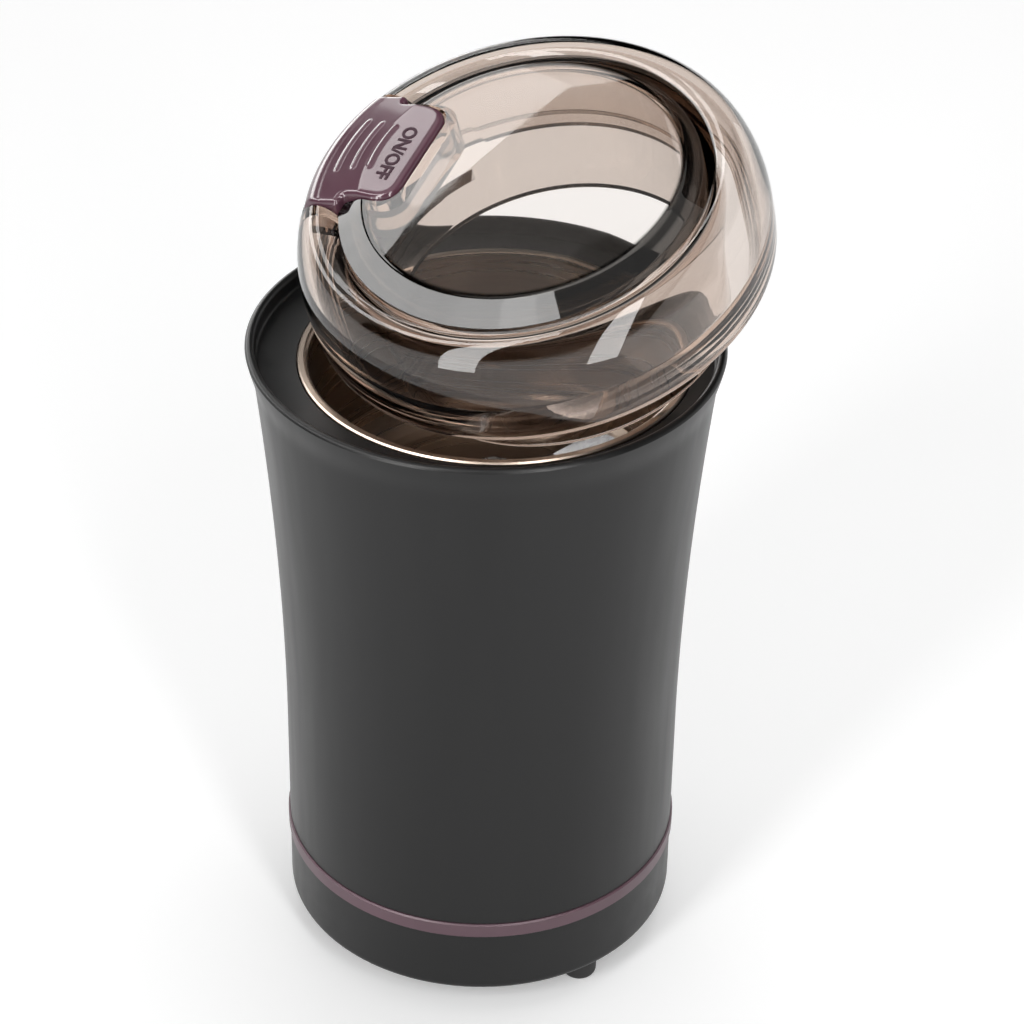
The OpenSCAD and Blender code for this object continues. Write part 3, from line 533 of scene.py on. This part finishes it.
def prism(points, low, high):
    bm = bmesh.new()
    bottom = [bm.verts.new((x, y, low)) for x, y in points]
    upper = [bm.verts.new((x, y, high)) for x, y in points]
    bm.faces.new(bottom)
    bm.faces.new(upper)
    n = len(points)
    for i in range(n):
        j = (i + 1) % n
        bm.faces.new((bottom[i], bottom[j], upper[j], upper[i]))
    return bm


def arc(centre_r, centre_z, radius_r, radius_z, start, end, count):
    turns = [math.radians(start + (end - start) * i / count) for i in range(count + 1)]
    return [(centre_r + radius_r * math.cos(a), centre_z + radius_z * math.sin(a)) for a in turns]


def rounded(profile, radii, steps):
    """A profile whose inner corners are rounded, with one radius per point; the ends' radii aren't used."""
    out = [profile[0]]
    for i in range(1, len(profile) - 1):
        before, corner, after = (Vector(p) for p in profile[i - 1:i + 2])
        u, v = before - corner, after - corner
        half = u.angle(v) / 2
        cut = min(radii[i] / max(math.tan(half), 1e-3), 0.48 * u.length, 0.48 * v.length)
        a, b = corner + u.normalized() * cut, corner + v.normalized() * cut
        for k in range(steps + 1):
            t = k / steps
            out.append(tuple(a * (1 - t) ** 2 + corner * 2 * t * (1 - t) + b * t * t))
    out.append(profile[-1])
    return out


def boolean(piece, cutter, operation):
    modifier = piece.modifiers.new("cut", "BOOLEAN")
    modifier.operation = operation
    modifier.object = cutter
    modifier.solver = "EXACT"
    with bpy.context.temp_override(object=piece, active_object=piece, selected_objects=[piece]):
        bpy.ops.object.modifier_apply(modifier=modifier.name)
    mesh = cutter.data
    bpy.data.objects.remove(cutter)
    bpy.data.meshes.remove(mesh)


# Body: flared shell with its beaded rim and ledge
def body_r(z):
    """The body's outer radius at a height above its lower face."""
    r = WAIST_R
    if z > FLARE_START:
        r += FLARE_GAIN * ((z - FLARE_START) / (BODY_H - FLARE_START)) ** FLARE_POWER
    if z > BODY_H - BEAD_H:
        t = (z - BODY_H + BEAD_H) / BEAD_H
        r += BEAD_OUT * t * t * (3 - 2 * t)
    return r


def make_body(steps=90):
    rim_half = RIM_W / 2
    low, high = SHELL_Z - FOOT_H, BODY_H - rim_half
    foot_r = body_r(low)
    rim_r = body_r(BODY_H) - RIM_IN
    rim_in = rim_r - RIM_W
    outside = [(foot_r - WALL, SHELL_Z), (foot_r - BODY_EDGE, SHELL_Z), (foot_r, SHELL_Z + BODY_EDGE)]
    for i in range(1, steps + 1):
        z = low + (high - low) * i / steps
        outside.append((body_r(z), FOOT_H + z))
    rim = arc(rim_r - rim_half, RIM_Z - rim_half, rim_half, rim_half, 15, 165, 10)
    rim.append((rim_in, RIM_Z - RIM_DROP))
    corner = arc(rim_in - LEDGE_ROUND, LEDGE_Z + LEDGE_ROUND, LEDGE_ROUND, LEDGE_ROUND, 0, -90, 4)
    hole_r = LIP_R + SLIP
    throat_r = BOWL_R + BOWL_T + SLIP
    hole = [(hole_r + BODY_EDGE, LEDGE_Z), (hole_r, LEDGE_Z - BODY_EDGE), (hole_r, LIP_SEAT_Z),
            (throat_r, LIP_SEAT_Z), (throat_r, DECK_Z)]
    inside = [(body_r(z) - WALL, FOOT_H + z) for z in (DECK_Z - FOOT_H, *INSIDE_HEIGHTS, low)]
    rings = [circle(r, z) for r, z in outside + rim + corner]
    rings += [circle(r, z, (BOWL_X, BOWL_Y)) for r, z in hole]
    rings += [circle(r, z) for r, z in inside]
    bm = loft(rings)
    bmesh.ops.remove_doubles(bm, verts=bm.verts, dist=MERGE)
    piece = to_object("body_skin", bm, M["shell"])
    bore = post(0, PLUNGER_R + RUNNING, BORE_LOW, BORE_HIGH, 48)
    spot = Vector((math.cos(SWITCH_AZ), math.sin(SWITCH_AZ), 0)) * PLUNGER_RING_R * MM
    boolean(piece, to_object("bore", bore, M["shell"], Matrix.Translation(spot)), "DIFFERENCE")
    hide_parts("body_shell")
    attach(piece, "housing")


# Lid: a dome off-centre from its raised ring, with a skirt and the button's pocket
def ring_axis_r(dome_r, angle):
    """Distance from the ring's axis at that angle to a circle about the dome's axis."""
    return DOME_X * math.cos(angle) + math.sqrt(dome_r ** 2 - (DOME_X * math.sin(angle)) ** 2)


def dome_angle(ring_r, angle, inset):
    """Where the dome's face passes a distance from the ring's axis, as the angle of its section."""
    dome_r = math.hypot(ring_r * math.cos(angle) - DOME_X, ring_r * math.sin(angle))
    return math.acos(max(-1.0, (dome_r - CREST_R) / (LID_R - CREST_R - inset)))


def dome_point(a, inset):
    """A point of the dome's face as distance from the dome's axis and height."""
    return (CREST_R + (LID_R - CREST_R - inset) * math.cos(a),
            -LID_BULGE + (LID_BULGE + CREST_UP - inset) * math.sin(a))


def dome_z(ring_r, angle):
    return dome_point(dome_angle(ring_r, angle, 0.0), 0.0)[1]


def shoulder_z(ring_r):
    return TOP_H * (RING_R - ring_r) / SHOULDER


def dome_start(angle):
    """Distance from the ring's axis at which the shoulder meets the dome, at most the ring's radius."""
    low, high = RING_R - SHOULDER, RING_R
    if dome_z(RING_R, angle) <= 0:
        return RING_R
    for _ in range(40):
        middle = (low + high) / 2
        if dome_z(middle, angle) > shoulder_z(middle):
            high = middle
        else:
            low = middle
    return high


def dome_column(angle, start_r, inset, count=34):
    """The dome's face at one angle, from a distance from the ring's axis to its widest part."""
    first = dome_angle(start_r, angle, inset)
    points = [dome_point(first * (1 - i / count), inset) for i in range(count + 1)]
    return [(ring_axis_r(r, angle), z) for r, z in points]


def turned(columns):
    """A skin from one column of (radius, height) points per angle, closed where a column meets the axis."""
    rings = []
    for points in zip(*columns):
        if all(r < TINY for r, z in points):
            rings.append([(0, 0, points[0][1])])
        else:
            rings.append([(r * math.cos(a), r * math.sin(a), z) for a, (r, z) in zip(LID_ANGLES, points)])
    bm = loft(rings)
    bmesh.ops.remove_doubles(bm, verts=bm.verts, dist=MERGE)
    return bm


def lid_outer(slope_steps=5):
    low = arc(LID_EDGE_R, -LID_BULGE, LID_R - LID_EDGE_R, LID_H - LID_BULGE, 0, -90, 10)[1:]
    spigot = rounded([low[-1], (SPIGOT_R, -LID_H), (SPIGOT_R, SPIGOT_LOW), (SKIRT_R, SPIGOT_LOW)],
                     [0, SPIGOT_CORNER, SPIGOT_ROUND, 0], 4)[1:-1]
    skirt = [(SKIRT_R, SPIGOT_LOW), (SKIRT_R, -SKIRT_H + SKIRT_EDGE),
             (SKIRT_R - 0.3 * SKIRT_EDGE, -SKIRT_H + 0.3 * SKIRT_EDGE),
             (SKIRT_R - SKIRT_EDGE, -SKIRT_H), (0, -SKIRT_H)]
    columns = []
    for angle in LID_ANGLES:
        edge_r = dome_start(angle)
        edge = (edge_r, shoulder_z(edge_r))
        crown = rounded([(0, TOP_H), (RING_R - SHOULDER, TOP_H), edge], [0, CROWN_ROUND, 0], 8)[1:-1]
        bend = Vector(crown[-1])
        slope = [tuple(bend.lerp(Vector(edge), k / slope_steps)) for k in range(1, slope_steps)]
        top = [(r, TOP_H) for r in TOP_MESH_R] + crown + slope + [edge]
        foot = [(ring_axis_r(r, angle), z) for r, z in low + spigot]
        columns.append(top + dome_column(angle, edge_r, 0.0) + foot + skirt)
    return turned(columns)


def lid_side_hollow():
    """The space between the dome and the skirt."""
    low = SPIGOT_LOW - CUT_PAST
    columns = []
    for angle in LID_ANGLES:
        dome = dome_column(angle, SKIRT_R, LID_WALL)
        foot = ring_axis_r(SPIGOT_R - LID_WALL, angle)
        columns.append(dome + [(foot, -LID_H), (foot, low), (SKIRT_R, low), dome[0]])
    return turned(columns)


def lid_cup_hollow():
    """The space inside the skirt."""
    ceiling = TOP_H - LID_WALL
    inner = SKIRT_R - LID_WALL
    low = -SKIRT_H - CUT_PAST
    corners = [(0, ceiling), (RING_R - SHOULDER - CUP_SLOPE_IN, ceiling), (inner, CUP_SLOPE_Z), (inner, low)]
    column = rounded(corners, [0, CUP_ROUND, CUP_ROUND, 0], 5) + [(0, low)]
    return turned([column] * LID_AROUND)


def outline(grow, far):
    """The button's outline in the lid's frame, rounded, from its outer end round its inner end."""
    narrow, wide = BUTTON_NARROW + grow, BUTTON_WIDE + grow
    x_in, x_step = BUTTON_IN - grow, BUTTON_STEP - grow
    half = [(far, wide), (x_step, wide), (x_step, narrow), (x_in, narrow), (x_in, 0)]
    side = rounded(half, [0, STEP_ROUND + grow, NOTCH_ROUND, END_ROUND + grow, 0], 10)
    return side + [(x, -y) for x, y in reversed(side[:-1])]


def pocket_block():
    """The plastic kept round the button's pocket, its spring's well and its rod's guide."""
    clear = M["clear"]
    pocket = prism(outline(GAP + POCKET_WALL, POCKET_FAR), POCKET_FLOOR - POCKET_WALL, CAP_TOP)
    well = post(ROD_X, WELL_R + POCKET_WALL, WELL_FLOOR - POCKET_WALL, POCKET_FLOOR - POCKET_LAP)
    guide = post(ROD_X, ROD_R + POCKET_WALL, GUIDE_LOW, WELL_FLOOR - POCKET_LAP)
    block = to_object("block", pocket, clear)
    boolean(block, to_object("well", well, clear), "UNION")
    boolean(block, to_object("guide", guide, clear), "UNION")
    return block


def make_lid():
    clear = M["clear"]
    lid = to_object("lid_clear", lid_outer(), clear)
    for hollow in (lid_side_hollow, lid_cup_hollow):
        space = to_object("space", hollow(), clear)
        boolean(space, pocket_block(), "DIFFERENCE")
        boolean(lid, space, "DIFFERENCE")
    pocket = prism(outline(GAP, POCKET_FAR), POCKET_FLOOR, CAP_TOP + POCKET_PAST)
    well = post(ROD_X, WELL_R, WELL_FLOOR, POCKET_FLOOR + POCKET_PAST)
    bore = post(ROD_X, ROD_R + RUNNING, GUIDE_LOW - POCKET_PAST, POCKET_FLOOR)
    for cut in (pocket, well, bore):
        boolean(lid, to_object("cut", cut, clear), "DIFFERENCE")
    lid.data.transform(LID)
    shade(lid.data, LID_SHARP)
    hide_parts("lid_shell")
    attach(lid, "lid")


# Button: crowned cap with rounded edges, three grip ridges and a flat panel for its word
def cap_slope_z(r):
    """The button's top face over the distance from the dome's axis."""
    if r < CAP_FLAT_R:
        return CAP_TOP
    if r < CREST_R:
        return CAP_TOP + (CAP_CREST - CAP_TOP) * (r - CAP_FLAT_R) / (CREST_R - CAP_FLAT_R)
    t = min((r - CREST_R) / (CAP_EDGE_R - CREST_R), CAP_REACH)
    return -LID_BULGE + (LID_BULGE + CAP_CREST) * math.sqrt(1 - t * t)


def cap_z(x, y):
    """The button's top face with its ridges, before its edges are rounded."""
    r = math.hypot(x - DOME_X, y)
    z = cap_slope_z(r)
    angle = abs(math.atan2(y, x - DOME_X))
    for ridge in RIDGES:
        along = (RIDGE_SPAN - angle) * ridge
        if abs(r - ridge) < RIDGE_REACH and along > -RIDGE_REACH:
            ends = min(max((along + RIDGE_FADE) / (2 * RIDGE_FADE), 0.0), 1.0)
            z += RIDGE_UP * math.exp(-((r - ridge) / RIDGE_HALF) ** 2) * ends
    return z


def edge_distance(x, y, ring):
    """Distance from a point to an outline."""
    best = math.inf
    for (ax, ay), (bx, by) in zip(ring, ring[1:] + ring[:1]):
        ux, uy = bx - ax, by - ay
        t = min(max(((x - ax) * ux + (y - ay) * uy) / (ux * ux + uy * uy), 0), 1)
        best = min(best, math.hypot(x - ax - t * ux, y - ay - t * uy))
    return best


def inside_outline(x, y, ring):
    crossed = False
    for (ax, ay), (bx, by) in zip(ring, ring[1:] + ring[:1]):
        if (ay > y) != (by > y) and x < ax + (y - ay) * (bx - ax) / (by - ay):
            crossed = not crossed
    return crossed


def button_ring(edge_r, end_steps=40):
    """The button's outline in fine steps, with its outer end along the lid's round edge."""
    side = [p for p in outline(0.0, BUTTON_FAR) if p[0] < BUTTON_FAR]
    start = math.asin(side[0][1] / edge_r)
    turns = [-start + 2 * start * i / end_steps for i in range(end_steps + 1)]
    corners = side + [(DOME_X + edge_r * math.cos(a), edge_r * math.sin(a)) for a in turns]
    ring = []
    for (ax, ay), (bx, by) in zip(corners, corners[1:] + corners[:1]):
        parts = max(1, int(math.hypot(bx - ax, by - ay) / EDGE_STEP))
        for k in range(parts):
            point = (ax + (bx - ax) * k / parts, ay + (by - ay) * k / parts)
            if not ring or math.dist(point, ring[-1]) > EDGE_SHORTEST:
                ring.append(point)
    return ring


def button_grid(ring, edge_r):
    """Staggered points inside the button's outline."""
    points = []
    for i in range(GRID_COLUMNS):
        for j in range(GRID_ROWS):
            x = GRID_X + GRID * i + GRID / 2 * (j % 2)
            y = GRID_Y + GRID * j
            if math.hypot(x - DOME_X, y) > edge_r or not inside_outline(x, y, ring):
                continue
            if edge_distance(x, y, ring) > GRID_CLEAR:
                points.append((x, y))
    return points


def make_button():
    end_z = BUTTON_LOW + BUTTON_SOFT + BUTTON_END_H
    rise = (end_z + LID_BULGE) / (CAP_CREST + LID_BULGE)
    edge_r = CREST_R + (CAP_EDGE_R - CREST_R) * math.sqrt(1 - rise ** 2)
    ring = button_ring(edge_r)
    cloud = [Vector(p) for p in ring + button_grid(ring, edge_r)]
    edges = [(i, (i + 1) % len(ring)) for i in range(len(ring))]
    places, _, faces, *_ = delaunay_2d_cdt(cloud, edges, [], 1, MERGE)
    bm = bmesh.new()
    top = []
    for p in places:
        short = BUTTON_SOFT - min(edge_distance(p.x, p.y, ring), BUTTON_SOFT)
        drop = BUTTON_SOFT - math.sqrt(BUTTON_SOFT ** 2 - short ** 2)
        top.append(bm.verts.new((p.x, p.y, cap_z(p.x, p.y) - drop)))
    for face in faces:
        bm.faces.new([top[i] for i in face])
    border = [e for e in bm.edges if len(e.link_faces) == 1]
    low = {}
    for v in [v for e in border for v in e.verts]:
        if v not in low:
            low[v] = bm.verts.new((v.co.x, v.co.y, BUTTON_LOW))
    for e in border:
        a, b = e.verts
        bm.faces.new((a, b, low[b], low[a]))
    cap = to_object("button_top", bm, M["button"], LID, BUTTON_SHARP)
    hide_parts("button_cap")
    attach(cap, "button")


def make_letters():
    curve = bpy.data.curves.new("switch_word", "FONT")
    curve.body = "ON/OFF"
    curve.size = WORD_SIZE * MM
    curve.extrude = WORD_RAISED * MM
    curve.offset = WORD_BOLD * MM
    curve.align_x = "CENTER"
    curve.align_y = "CENTER"
    text = bpy.data.objects.new("switch_word", curve)
    scene.collection.objects.link(text)
    bpy.context.view_layer.update()
    mesh = bpy.data.meshes.new_from_object(text.evaluated_get(bpy.context.evaluated_depsgraph_get()))
    bpy.data.objects.remove(text)
    # The word runs along the tangent, with the letters' tops towards the lid's middle
    spot = Matrix.Translation(Vector((WORD_X, WORD_Y, CAP_TOP + WORD_LIFT)) * MM)
    mesh.transform(LID @ spot @ Matrix.Rotation(math.radians(90), 4, "Z"))
    mesh.materials.clear()
    mesh.materials.append(M["letters"])
    piece = bpy.data.objects.new("switch_word", mesh)
    scene.collection.objects.link(piece)
    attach(piece, "button")


# Return springs
def coil(radius, height, turns, per_turn=36, sides=12):
    """A round wire wound upwards."""
    bm = bmesh.new()
    count = turns * per_turn
    rings = []
    for i in range(count + 1):
        a = 2 * math.pi * i / per_turn
        z = SPRING_WIRE + (height - 2 * SPRING_WIRE) * i / count
        ring = []
        for k in range(sides):
            b = 2 * math.pi * k / sides
            r = radius + SPRING_WIRE * math.cos(b)
            ring.append(bm.verts.new((r * math.cos(a), r * math.sin(a), z + SPRING_WIRE * math.sin(b))))
        rings.append(ring)
    for low, high in zip(rings, rings[1:]):
        for k in range(sides):
            n = (k + 1) % sides
            bm.faces.new((low[k], low[n], high[n], high[k]))
    bm.faces.new(rings[0])
    bm.faces.new(rings[-1])
    return bm


def make_spring(node, turned_to, turns, body):
    """A fine coil in the place of a CAD spring, whose axis is upright in the frame turned_to."""
    back = turned_to.inverted() @ NODES[node].matrix_world
    places = [back @ v.co / MM for v in NODES[node].data.vertices]
    low = Vector(min(p[i] for p in places) for i in range(3))
    high = Vector(max(p[i] for p in places) for i in range(3))
    height = high.z - low.z
    middle = (low + high) / 2
    foot = turned_to @ Matrix.Translation(Vector((middle.x, middle.y, low.z)) * MM)
    radius = (high.y - low.y) / 2 - SPRING_WIRE
    spring = to_object(node + "_coil", coil(radius, height, turns), M["screw"], foot)
    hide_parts(node)
    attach(spring, body)
    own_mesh(spring)


# Studio, in metres and degrees: pale floor, white surround, soft boxes, and cards for reflections
LIT_POINT = Vector((0.005, 0, 0.165))
DARK_FAR = 1.7
BRIGHT_FAR = 1.5
WINDOW_FAR = 0.45
STRIP_FAR = 1.2
FLOOR_R = 2.5
FLOOR_GLOW_FROM = (0.4, 1.5)
FLOOR_GLOW = (0.25, 0.64)
SURROUND_LIT = 0.38
SURROUND_SEEN = 1.0
ARC_FRONT_Y = -0.65
ARC_BACK_Y = 0.85
WHITE = (1, 1, 1, 1)
PALE = (1.0, 0.99, 0.98)
DARK = (0.008, 0.008, 0.008)
GREY = (0.42, 0.41, 0.4)

# Name, azimuths, elevations, and whether refractions see the card
DARK_CARDS = [
    ("dark_front", (-175, -5), (0, 20, 40, 60), True),
    ("dark_right", (-5, 58), (22, 40, 60), True),
    ("dark_back", (58, 112), (3, 20, 40, 60), False),
    ("dark_back_left", (112, 150), (20, 40, 60), False),
    ("dark_left", (150, 186), (3, 20, 40, 60), False),
]

# Name, azimuths, elevations, strength and distance
BRIGHT_CARDS = [
    ("bright_back_left", (114, 150), (42, 52.3), 5.0, BRIGHT_FAR),
    ("bright_back", (111, 114), (42, 52.3), 3.0, BRIGHT_FAR),
    ("bright_back_end", (108, 111), (42, 52.3), 1.3, BRIGHT_FAR),
    ("bright_edge", (99, 117), (6, 41), 1.7, BRIGHT_FAR),
    ("bright_window_left", (-134, -118), (-18, 0, 20, 40, 58), 10.0, WINDOW_FAR),
    ("bright_window_right", (-70, -56), (-18, 0, 20, 40, 65), 10.0, WINDOW_FAR),
]

# Azimuths and elevations along the bright arc that the lid's ring reflects
ARC_PLACES = [(97, 1), (112, 7), (144, 18), (160, 25), (174, 32), (-172, 38), (-157, 45), (-142, 51),
              (-130, 56), (-112, 62.5)]


def seen_rays(tree):
    """1 for rays from the camera, off glossy faces or through clear ones, and 0 for the rest."""
    light = add(tree, "ShaderNodeLightPath")
    other = math_node(tree, "MAXIMUM", light.outputs["Is Glossy Ray"], light.outputs["Is Transmission Ray"])
    return math_node(tree, "MAXIMUM", light.outputs["Is Camera Ray"], other)


def make_world():
    world = bpy.data.worlds.new("studio")
    scene.world = world
    world.use_nodes = True
    tree = world.node_tree
    background = tree.nodes["Background"]
    background.inputs["Color"].default_value = WHITE
    level = map_range(tree, seen_rays(tree), 0.0, 1.0, SURROUND_LIT, SURROUND_SEEN)
    tree.links.new(level, background.inputs["Strength"])


def make_floor():
    material, tree, shader = new_material("pale_floor")
    shader.inputs["Base Color"].default_value = (0.9, 0.9, 0.9, 1)
    shader.inputs["Roughness"].default_value = 0.9
    shader.inputs["Specular IOR Level"].default_value = 0.1
    glow = add(tree, "ShaderNodeEmission")
    glow.inputs["Color"].default_value = WHITE
    # The lamps reach the far floor less, so it glows more there
    coords = add(tree, "ShaderNodeTexCoord")
    reach = length(tree, coords.outputs["Object"])
    share = map_range(tree, reach, *FLOOR_GLOW_FROM, *FLOOR_GLOW, "SMOOTHSTEP")
    tree.links.new(multiply(tree, seen_rays(tree), share), glow.inputs["Strength"])
    both = add(tree, "ShaderNodeAddShader")
    tree.links.new(shader.outputs[0], both.inputs[0])
    tree.links.new(glow.outputs[0], both.inputs[1])
    tree.links.new(both.outputs[0], tree.nodes["Material Output"].inputs["Surface"])
    bm = bmesh.new()
    bmesh.ops.create_circle(bm, cap_ends=True, segments=96, radius=FLOOR_R / MM)
    floor = to_object("floor", bm, material)


def soft_box(name, at, aim, size, power):
    """A lamp that lights but isn't reflected."""
    data = bpy.data.lights.new(name, "AREA")
    data.shape = "RECTANGLE"
    data.size, data.size_y = size
    data.energy = power
    lamp = bpy.data.objects.new(name, data)
    scene.collection.objects.link(lamp)
    lamp.location = at
    lamp.rotation_euler = (Vector(aim) - Vector(at)).to_track_quat("-Z", "Y").to_euler()
    lamp.visible_glossy = False
    lamp.visible_transmission = False


def direction(azimuth, elevation):
    a, e = math.radians(azimuth), math.radians(elevation)
    return Vector((math.cos(e) * math.cos(a), math.cos(e) * math.sin(a), math.sin(e)))


def strip_light(name, azimuth, elevation, size, power):
    soft_box(name, LIT_POINT + STRIP_FAR * direction(azimuth, elevation), LIT_POINT, size, power)


def make_lamps():
    strip_light("strip_left", -126, 27, (0.24, 0.85), 5.5)
    strip_light("strip_right", -67, 36, (0.17, 0.75), 4)
    soft_box("top", (0.1, 0.3, 1.2), (0, 0, 0.1), (0.8, 0.6), 4.5)


def card_material(name, tone, strength=0.0):
    """Matt card, faintly uneven, which may glow."""
    material, tree, shader = new_material(name)
    shade_tone = two_tone(tree, noise(tree, 3, 2), scaled(tone, 0.9), tone)
    tree.links.new(shade_tone, shader.inputs["Base Color"])
    tree.links.new(shade_tone, shader.inputs["Emission Color"])
    shader.inputs["Emission Strength"].default_value = strength
    shader.inputs["Roughness"].default_value = 1.0
    shader.inputs["Specular IOR Level"].default_value = 0.0
    return material


def graded_material(name, tone, front_strength, back_strength):
    """A glowing card whose strength changes from in front of the object to behind it."""
    material = card_material(name, tone)
    tree = material.node_tree
    parts = add(tree, "ShaderNodeSeparateXYZ")
    tree.links.new(place(tree), parts.inputs["Vector"])
    strength = map_range(tree, parts.outputs["Y"], ARC_FRONT_Y, ARC_BACK_Y, front_strength, back_strength)
    tree.links.new(strength, tree.nodes["Principled BSDF"].inputs["Emission Strength"])
    return material


def show_card(name, rows, material, far, refracted):
    """A curved card of rows of directions, which only reflections see, or refractions too."""
    bm = bmesh.new()
    made = [[bm.verts.new((LIT_POINT + far * d) / MM) for d in row] for row in rows]
    for low, high in zip(made, made[1:]):
        for i in range(len(low) - 1):
            bm.faces.new((low[i], low[i + 1], high[i + 1], high[i]))
    sheet = to_object(name, bm, material)
    sheet.visible_camera = False
    sheet.visible_diffuse = False
    sheet.visible_transmission = refracted
    sheet.visible_shadow = False


def card(name, azimuths, elevations, material, far, refracted=False, columns=24):
    first, last = azimuths
    across = [first + (last - first) * i / columns for i in range(columns + 1)]
    rows = [[direction(azimuth, elevation) for azimuth in across] for elevation in elevations]
    show_card(name, rows, material, far, refracted)


def ribbon(name, places, half_width, material, far, steps=8):
    """A card that follows places given as azimuth and elevation."""
    line = [direction(*p) for p in places]
    path = [a.slerp(b, k / steps) for a, b in zip(line, line[1:]) for k in range(steps)] + [line[-1]]
    sides = [[], []]
    for i, d in enumerate(path):
        along = path[min(i + 1, len(path) - 1)] - path[max(i - 1, 0)]
        across = along.cross(d).normalized() * math.tan(math.radians(half_width))
        sides[0].append((d - across).normalized())
        sides[1].append((d + across).normalized())
    show_card(name, sides, material, far, False)


def make_cards():
    dark = card_material("dark_card", DARK)
    for name, azimuths, elevations, refracted in DARK_CARDS:
        card(name, azimuths, elevations, dark, DARK_FAR, refracted)
    card("grey_top", (-180, 180), (60, 75, 89), card_material("grey_card", GREY, 1.0), DARK_FAR, True, 48)
    for name, azimuths, elevations, strength, far in BRIGHT_CARDS:
        card(name, azimuths, elevations, card_material(name, PALE, strength), far)
    ribbon("bright_arc", ARC_PLACES, 6, graded_material("bright_arc", PALE, 8.5, 5.0), BRIGHT_FAR)


dress_nodes()
make_camera()
make_body()
make_lid()
make_button()
make_letters()
make_spring("plunger_spring", UPRIGHT, PLUNGER_TURNS, "housing")
make_spring("button_spring", LID, BUTTON_TURNS, "lid")
make_world()
make_floor()
make_lamps()
make_cards()
scene.view_settings.view_transform = "Standard"
